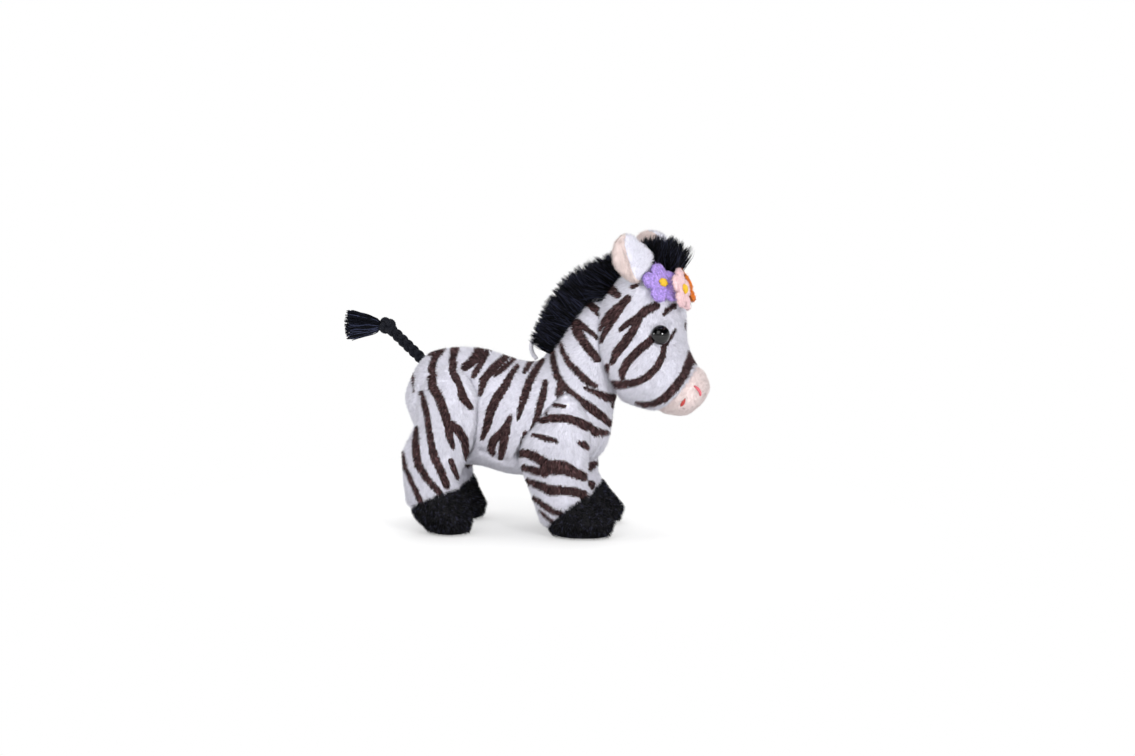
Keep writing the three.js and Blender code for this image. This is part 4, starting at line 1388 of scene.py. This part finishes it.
class ZEBRA_OT_legs(bpy.types.Operator):
    """Four stuffed legs, each with a hoof sewn on aslant"""
    bl_idname = "zebra.legs"
    bl_label = "Legs and hooves"

    def execute(self, context):
        for end, seam in LEGS:
            for side in SIDES:
                leg, body = f"{end}_{side}", f"{end}_{side}_leg"
                nodes = [f"{leg}_{part}" for part in ("skin", "hoof", "sole", "stuffing")]
                skin = stuffed_form(leg + "_leg_plush", nodes, rounds=10)
                drawn_under(skin)
                place, out = seam_plane(seam)
                outward = -1 if side == "right" else 1
                place = place + np.array((0.0, outward * LEG_OUTER, 0.0))
                out = unit(out + np.array((0.0, -outward * SEAM_SLOPE * out[2], 0.0)))
                draw_in(skin, place, out, HOOF_FURROW)
                hoof = cut_at(skin, leg + "_hoof_plush", place, out)
                dressed(skin, body, "striped_plush", nodes[::3], striped_backing(), fill=0.8, bends=True)
                dressed(hoof, body, "black_plush", nodes[1:3], [backing("black")], fill=0.8)
        return {"FINISHED"}


class ZEBRA_OT_ears(bpy.types.Operator):
    """Two ears, each with a white front and a peach back"""
    bl_idname = "zebra.ears"
    bl_label = "Ears"

    def execute(self, context):
        for side in SIDES:
            nodes = [f"ear_{layer}_{side}" for layer in ("back", "front")]
            back = stuffed_form(f"{nodes[0]}_plush", nodes, rounds=8, voxel=EAR_VOXEL)
            points, middle, (along, across, _) = lie_of(nodes[1])
            out = unit(points.mean(0) - points_of(frame["nodes"][nodes[0]]).mean(0))
            along = along * np.sign(along[2])
            across = unit(np.cross(along, out))
            across = across * np.sign(across @ (-1, 0, 0))
            set_points(back, points_of(back) - normals_of(back) * EAR_UNDER)
            self.widen(back, middle, along, across, EAR_EDGE[side])
            soften(back, rounds=3)
            edge = middle + across * EAR_SEAM[0] + out * EAR_SEAM[1]
            normal = unit(out - across * EAR_SEAM_LEAN)
            self.fold(back, edge, across, out)
            front = cut_at(back, f"{nodes[1]}_plush", edge, normal)
            for piece, node_name, cloth in ((back, nodes[0], "peach"), (front, nodes[1], "white")):
                dressed(piece, f"ear_{side}", f"{cloth}_plush", [node_name], [backing(cloth)], fill=0.5)
        return {"FINISHED"}

    def widen(self, ear, middle, along, across, edge):
        """Moves the ear's front edge out towards the forehead by what is given for each height."""
        points = points_of(ear)
        front = np.clip((middle - points) @ across / EAR_REACH, 0, 1)
        shift = front * np.interp((points - middle) @ along, *(np.array(edge).T * MM))
        set_points(ear, points - np.outer(shift, across))

    def fold(self, ear, edge, across, out):
        """Presses the seam between back and front into the ear's face."""
        points, normals = points_of(ear), normals_of(ear)
        off = (points - edge) @ across
        depth, width = EAR_FURROW
        depth = np.where(normals @ out > EAR_FACING, depth * np.exp(-(off / width) ** 2), 0.0)
        set_points(ear, points - normals * depth[:, None])


def lie_of(node_name):
    """Middle and main directions of a solid, from its longest way to its shortest."""
    points = points_of(frame["nodes"][node_name])
    middle = (points.min(0) + points.max(0)) / 2
    spread, ways = np.linalg.eigh(np.cov((points - points.mean(0)).T))
    return points, middle, ways[:, np.argsort(-spread)].T


class ZEBRA_OT_eyes(bpy.types.Operator):
    """Domed eyes on posts, held by washers behind the cloth"""
    bl_idname = "zebra.eyes"
    bl_label = "Eyes"

    def execute(self, context):
        under = -EYE_DOME - EYE_RIM
        profile = [
            (0.0, -POST_END), (POST_RADIUS, -POST_END), (POST_RADIUS, under), (0.8 * EYE_RADIUS, under)]
        for angle in np.linspace(0, math.pi / 2, 18):
            profile.append((EYE_RADIUS * math.cos(angle), EYE_DOME * (math.sin(angle) - 1)))
        for side in SIDES:
            points, _, ways = lie_of(f"eye_{side}")
            out = ways[0]
            if (points.mean(0) - (points.min(0) + points.max(0)) / 2) @ out < 0:
                out = -out
            high = points @ out
            top = points[high.argmax()]
            made = self.turned(f"eye_dome_{side}", top, out, profile)
            dressed(made, "head", "eye_plastic", [f"eye_{side}"])
            washer = frame["nodes"][f"eye_washer_{side}"]
            washer.data.materials.clear()
            washer.data.materials.append(moulded("washer", colours().washer, (0.4, 0.5)))
        return {"FINISHED"}

    def turned(self, name, top, out, profile):
        """A round piece from its profile of radius and height."""
        across = unit(np.cross(out, (0.0, 0.0, 1.0)))
        up = np.cross(out, across)
        turn = circle(EYE_SIDES)
        ring = np.cos(turn)[:, None] * across + np.sin(turn)[:, None] * up
        points = np.concatenate([top + out * z + ring * max(r, 1e-6) for r, z in profile])
        faces = ring_quads(len(profile), EYE_SIDES)
        made = mesh_object(name, points, faces, [moulded("eye", colours().eye, (0.03, 0.06))])
        with reworked(made) as work:
            bmesh.ops.remove_doubles(work, verts=work.verts, dist=0.01 * MM)
            bmesh.ops.recalc_face_normals(work, faces=work.faces)
        return made


class ZEBRA_OT_flowers(bpy.types.Operator):
    """Three felt flowers, each held by a yellow thread knot"""
    bl_idname = "zebra.flowers"
    bl_label = "Flowers"

    def execute(self, context):
        for name, colour in (("purple", "purple"), ("pink", "rose"), ("orange", "orange")):
            points, middle, ways = lie_of(f"flower_{name}")
            out = ways[2] if ways[2] @ (middle - CROWN) > 0 else -ways[2]
            flat = points - middle
            flat = flat - np.outer(flat @ out, out)
            tip = flat[np.linalg.norm(flat, axis=1).argmax()]
            if name == "orange":
                out = turned_about(out[None], np.zeros(3), (0, 0, 1), ORANGE_TURN)[0]
                tip = np.array((0.0, -1.0, 0.0))
            tip = unit(tip - out * (tip @ out))
            across = np.cross(out, tip)
            finish = felt(name, getattr(colours(), colour))
            made = self.petals(f"felt_flower_{name}", middle, tip, across, out, finish)
            dressed(made, "head", f"{name}_felt", [f"flower_{name}"])
            dressed(self.fibres(made, name, colour), "head", f"{name}_felt")
            knot = self.knot(f"flower_knot_thread_{name}", middle + out * KNOT_LIFT, tip, across, out)
            dressed(knot, "head", "yellow_thread", [f"flower_knot_{name}"])
        return {"FINISHED"}

    def petals(self, name, middle, tip, across, out, finish):
        """Five round petals cut from thick felt, with a pressed line inside the edge."""
        angle = circle(PETAL_STEPS)
        half = math.pi / PETALS
        nearest = (angle + half) % (2 * half) - half
        reach = FLOWER_RADIUS - PETAL_RADIUS
        bulge = np.maximum(PETAL_RADIUS ** 2 - (reach * np.sin(nearest)) ** 2, 1e-9)
        edge = reach * np.cos(nearest) + np.sqrt(bulge)
        share = np.concatenate((np.linspace(0.02, 0.9, 10), (0.95, 0.985, 1.0, 1.0)))
        rise = 0.5 * FELT_THICK * np.concatenate((np.ones(10), (0.93, 0.78, 0.5, 0.0)))
        press = PRESS_DEPTH * np.exp(-((share - PRESS_PLACE) / PRESS_WIDTH) ** 2)
        layers = [*zip(share, rise - press), *zip(share[-2::-1], -rise[-2::-1])]
        rows = []
        for part, height in layers:
            flat = np.outer(edge * part * np.cos(angle), tip) + np.outer(edge * part * np.sin(angle), across)
            rows.append(middle + flat + out * height)
        points = np.concatenate(rows + [[middle + out * rise[0]], [middle - out * rise[0]]])
        return mesh_object(name, points, ring_faces(len(rows), PETAL_STEPS, flip=True), [finish])

    def fibres(self, petals, name, colour):
        """Matted fibres that lie all ways on the felt."""
        rng = chance(name)
        roots, normals = scattered(petals, FELT_FIBRES, rng)
        way = laid_flat(rng.normal(0, 1, (FELT_FIBRES, 3)), normals)
        way = way * rng.uniform(*FELT_FIBRE_LENGTH, (FELT_FIBRES, 1)) * MM
        bow = np.cross(normals, way) * rng.uniform(-0.5, 0.5, (FELT_FIBRES, 1))
        middles = roots + way / 2 + bow + normals * 0.22 * MM
        tips = roots + way - normals * 0.1 * MM
        slots = tinted(colour, roots, rng, 0.05 * MM)
        return hairs(
            f"felt_fibres_{name}", roots, middles, tips, pile_tints(colour), slots,
            radius=0.12 * MM, steps=4, facing=normals)

    def knot(self, name, place, tip, across, out):
        """Stitches crossed over one another into a small knot."""
        rng = chance(name)
        s = np.linspace(0, math.pi, 16)
        parts = []
        for turn in np.arange(KNOT_STITCHES) * math.pi / KNOT_STITCHES:
            way = tip * math.cos(turn) + across * math.sin(turn)
            wide, high = rng.uniform(*KNOT_WIDE) * MM, rng.uniform(*KNOT_HIGH) * MM
            path = place + np.outer(wide * np.cos(s), way) + np.outer(0.2 * MM + high * np.sin(s), out)
            parts.append(plied(path, plies=2, spread=0.22 * MM, radius=0.3 * MM, turns=2))
        points, faces = joined(parts)
        return mesh_object(name, points, faces, [yarn("yellow_cotton", colours().thread)])


class ZEBRA_OT_stitches(bpy.types.Operator):
    """Satin stitches for nostrils and mouth"""
    bl_idname = "zebra.stitches"
    bl_label = "Stitches"

    def execute(self, context):
        tree = tree_of(bpy.data.objects["muzzle_plush"])
        for kind, slot, length in (("nostril", "nose_thread", 4.6), ("mouth", "mouth_thread", 3.2)):
            finish = yarn(f"{kind}_cotton", getattr(colours(), slot.split("_")[0]))
            for side in SIDES:
                node_name = f"{kind}_stitch_{side}"
                _, middle, ways = lie_of(node_name)
                parts = [self.thread(tree, middle, ways, length * MM, lane) for lane in (-1, 0, 1)]
                made = mesh_object(f"{node_name}_threads", *joined(parts), [finish])
                dressed(made, "head", slot, [node_name])
        return {"FINISHED"}

    def thread(self, tree, middle, ways, length, lane):
        """One thread that dives into the cloth at both ends."""
        ground, out = tree.find_nearest(Vector(middle))[:2]
        out = np.array(out)
        along = unit(ways[0] - out * (ways[0] @ out))
        beside = np.cross(out, along) * lane * THREAD_GAP
        half = length / 2 - THREAD_SHORTER * abs(lane)
        path = []
        for t in np.linspace(-1, 1, 15):
            near = np.array(ground) + along * t * half + beside * (1 - t * t)
            foot, lift = tree.find_nearest(Vector(near))[:2]
            path.append(np.array(foot) + np.array(lift) * (0.75 * (1 - t ** 4) - 0.1) * MM)
        return tube(np.array(path), THREAD_RADIUS, THREAD_SIDES)


class ZEBRA_OT_hair(bpy.types.Operator):
    """The long black pile of mane and forelock"""
    bl_idname = "zebra.hair"
    bl_label = "Mane and forelock"

    def execute(self, context):
        for name, body, skin, on_strip in (
            ("mane", "neck", "body_plush", self.on_neck),
            ("forelock", "head", "head_plush", self.on_crown),
        ):
            core = stuffed_form(name + "_core", [name], rounds=6)
            set_points(core, points_of(core) - normals_of(core) * CORE_UNDER)
            soften(core, rounds=6)
            dressed(core, body, "hair", [name], [backing("hair")], bends=body == "neck")
            self.tufts(name, body, bpy.data.objects[skin], on_strip)
        return {"FINISHED"}

    def on_neck(self, roots, normals):
        """Which places lie on the strip along the neck, the way its hair stands there and how long it is."""
        wide = np.interp(roots[:, 0], np.array((10, 20, 30)) * MM, (4.6, 4.6, 1.8)) * MM
        on_back = (roots[:, 0] > 9.6 * MM) & (normals @ (-0.65, 0, 0.75) > 0.35)
        chosen = (np.abs(roots[:, 1]) < wide) & on_back
        start, end = NECK_LINE
        run = end - start
        t = np.clip((roots - start) @ run / (run @ run), 0, 1)
        way = unit(roots - start - np.outer(t, run))
        up = np.interp(roots[:, 0], (10 * MM, 16 * MM, 26 * MM), (0.0, 0.06, 0.12))
        way = unit(way * (1, 0.9, 1) + np.outer(up, (0.3, 0.0, 1.0)))
        steps = np.array((9, 13, 20, 27, 34)) * MM
        return chosen, way, np.interp(roots[:, 0], steps, (0.8, 0.95, 1.08, 1.15, 1.4))

    def on_crown(self, roots, normals):
        """Which places lie on the strip over the head, the way its hair stands there and how long it is."""
        local = (roots - NECK_BALL) @ head_matrix() + NECK_BALL
        off = local - CROWN
        high = off[:, 2] / np.hypot(off[:, 0], off[:, 2])
        wide = np.where(off[:, 0] > 6 * MM, 4.2, 5.4) * MM
        chosen = (np.abs(local[:, 1]) < wide) & (high > np.where(off[:, 0] > 0, 0.76, 0.35))
        up = np.interp(off[:, 0], np.array((-6, 4, 11)) * MM, (0.0, 0.3, 1.0))
        way = unit(unit(roots - CROWN) * (1, 1.6, 1) + np.outer(up, (-0.35, 0.0, 1.0)))
        steps = np.array((-12, -7, -3, 5, 10)) * MM
        return chosen, way, np.interp(off[:, 0], steps, (1.1, 0.75, 0.65, 1.05, 1.15))

    def tufts(self, name, body, skin, on_strip):
        """Hairs rooted on a strip of the skin, which close up into pointed tufts."""
        rng = chance(name)
        roots, normals = scattered(skin, int(area_of(skin) / MM ** 2 * HAIR_TRIES), rng)
        chosen, way, long = on_strip(roots, normals)
        chosen = np.flatnonzero(chosen)[:HAIR_COUNT]
        roots, normals, way, long = roots[chosen], normals[chosen], way[chosen], long[chosen]
        count = len(roots)
        tall = rng.random(count) ** 0.5
        aside = np.outer((1 - tall) * rng.choice((-HAIR_ASIDE, HAIR_ASIDE), count), (0.0, 1.0, 0.0))
        ahead = unit(0.8 * way + 0.25 * normals + aside + rng.normal(0, HAIR_VARIES, (count, 3)))
        reach = sizes().hair * long * (0.5 + 0.58 * tall)
        tips = roots + ahead * reach[:, None]
        leaders = rng.choice(count, count // TUFT_HAIRS, replace=False)
        far = np.linalg.norm(tips[:, None] - tips[leaders][None], axis=2)
        leader = leaders[far.argmin(1)]
        tips = tips + (tips[leader] - tips) * rng.uniform(*TUFT_CLOSING, count)[:, None]
        tips[:, 2] -= 0.4 * MM
        middles = roots + ahead * reach[:, None] * 0.6 + rng.normal(0, 0.5 * MM, (count, 3))
        slots = tinted("hair", tips, rng)
        made = hairs(
            name + "_hair", roots, middles, tips, pile_tints("hair"), slots, radius=HAIR_RADIUS, steps=4)
        dressed(made, body, "hair", bends=body == "neck")


class ZEBRA_OT_tail(bpy.types.Operator):
    """A braid of three strands, a knot and a cut tassel"""
    bl_idname = "zebra.tail"
    bl_label = "Tail"

    def execute(self, context):
        finish = [yarn("black_acrylic", colours().yarn)]
        ahead = np.array((-math.cos(BRAID_RISE), 0.0, math.sin(BRAID_RISE)))
        up = np.array((math.sin(BRAID_RISE), 0.0, math.cos(BRAID_RISE)))
        side = np.array((0.0, 1.0, 0.0))
        t = np.linspace(*BRAID_SPAN, 104)
        parts = []
        for strand in range(3):
            turn = 2 * math.pi * (BRAID_TURNS * t + strand / 3)
            lane = (BRAID_ROOT + np.outer(t * BRAID_LENGTH, ahead) + np.outer(BRAID_HIGH * np.sin(turn), up)
                    + np.outer(BRAID_WIDE * np.sin(2 * turn), side))
            parts.append(plied(lane, plies=7, spread=0.66 * MM, radius=0.34 * MM, turns=1.6))
        braid = mesh_object("tail_braid_yarn", *joined(parts), finish)
        dressed(braid, "tail", "black_yarn", ["tail_braid"])
        self.knot(finish)
        self.tassel()
        return {"FINISHED"}

    def knot(self, finish):
        """The braid's end drawn into an overhand knot."""
        turn = np.linspace(0, 2 * math.pi, 120)
        wide = 1.5 + 0.7 * np.cos(3 * turn)
        path = np.stack((wide * np.cos(2 * turn), 1.1 * np.sin(3 * turn), wide * np.sin(2 * turn)), -1) * MM
        points, faces = plied(KNOT_PLACE + path, plies=6, spread=0.7 * MM, radius=0.42 * MM, turns=9)
        made = mesh_object("tail_knot_yarn", points, faces, finish)
        dressed(made, "tuft", "black_yarn", ["tail_knot"])

    def tassel(self):
        """Cut yarn ends that flare from the knot."""
        rng = chance("tassel")
        parts = []
        t = np.linspace(0, 1, 10)
        for strand in range(TASSEL_ENDS):
            turn = rng.random() * 2 * math.pi
            out = math.sqrt(rng.random()) if strand else TASSEL_STRAY
            flare = np.array((0.0, TASSEL_WIDE * math.cos(turn), TASSEL_HIGH * math.sin(turn))) * out * MM
            length = TASSEL_LENGTH * rng.uniform(0.82, 1.02) * (1 - 0.06 * out)
            spread = np.outer(0.24 + 0.76 * t ** 0.6, flare)
            path = TASSEL_START + np.outer(t * length, (-1.0, 0.0, 0.0)) + spread
            wave = 0.14 * MM * np.sin(t[:, None] * rng.uniform(5, 14, 3) + rng.uniform(0, 6, 3))
            parts.append(tube(path + wave, TASSEL_RADIUS, TASSEL_SIDES))
        # Places set so far apart that each end gets a tint of its own
        apart = TASSEL_START * np.arange(len(parts))[:, None]
        slots = np.repeat(tinted("yarn", apart, rng), len(parts[0][1]))
        made = mesh_object("tail_tassel_yarn", *joined(parts), pile_tints("yarn"), slots)
        dressed(made, "tuft", "black_yarn", ["tail_tassel"])


class ZEBRA_OT_pile(bpy.types.Operator):
    """The plush pile on every skin, with the stripes printed on it"""
    bl_idname = "zebra.pile"
    bl_label = "Pile"

    def execute(self, context):
        solid = {}
        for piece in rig.pieces():
            if piece.type == "MESH" and "pile" not in piece.name and "hair" not in piece.name:
                points = points_of(piece)
                low, high = points.min(0) - FIBRE_REACH, points.max(0) + FIBRE_REACH
                solid[piece.name] = (low, high, tree_of(piece))
        for piece in cloths():
            grow(piece, [entry for name, entry in solid.items() if name != piece.skin])
        return {"FINISHED"}


STEPS = (
    ZEBRA_OT_stage,
    ZEBRA_OT_hang_loop,
    ZEBRA_OT_legs,
    ZEBRA_OT_body,
    ZEBRA_OT_head,
    ZEBRA_OT_ears,
    ZEBRA_OT_eyes,
    ZEBRA_OT_flowers,
    ZEBRA_OT_stitches,
    ZEBRA_OT_hair,
    ZEBRA_OT_tail,
    ZEBRA_OT_pile,
)


class ZEBRA_PT_panel(bpy.types.Panel):
    """Lists the pieces of the zebra"""
    bl_idname = "ZEBRA_PT_panel"
    bl_label = "Plush zebra"
    bl_space_type = "VIEW_3D"
    bl_region_type = "UI"
    bl_category = "Plush zebra"

    def draw(self, context):
        for step in STEPS:
            self.layout.operator(step.bl_idname)
        for group in (context.scene.zebra_sizes, context.scene.zebra_colours):
            for key in group.__annotations__:
                self.layout.prop(group, key)


CLASSES = (ZebraSizes, ZebraColours, *STEPS, ZEBRA_PT_panel)


def register():
    for each in CLASSES:
        bpy.utils.register_class(each)
    bpy.types.Scene.zebra_sizes = PointerProperty(type=ZebraSizes)
    bpy.types.Scene.zebra_colours = PointerProperty(type=ZebraColours)


def unregister():
    del bpy.types.Scene.zebra_colours
    del bpy.types.Scene.zebra_sizes
    for each in reversed(CLASSES):
        bpy.utils.unregister_class(each)


def main():
    register()
    for step in STEPS:
        group, name = step.bl_idname.split(".")
        getattr(getattr(bpy.ops, group), name)()
    boxes = {"cad": [list(map(float, corner)) for corner in CAD_BOX],
             "visual": [list(map(float, corner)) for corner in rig.bounds()]}
    with open("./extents.json", "w") as out:
        json.dump(boxes, out)


if __name__ == "__main__":
    main()
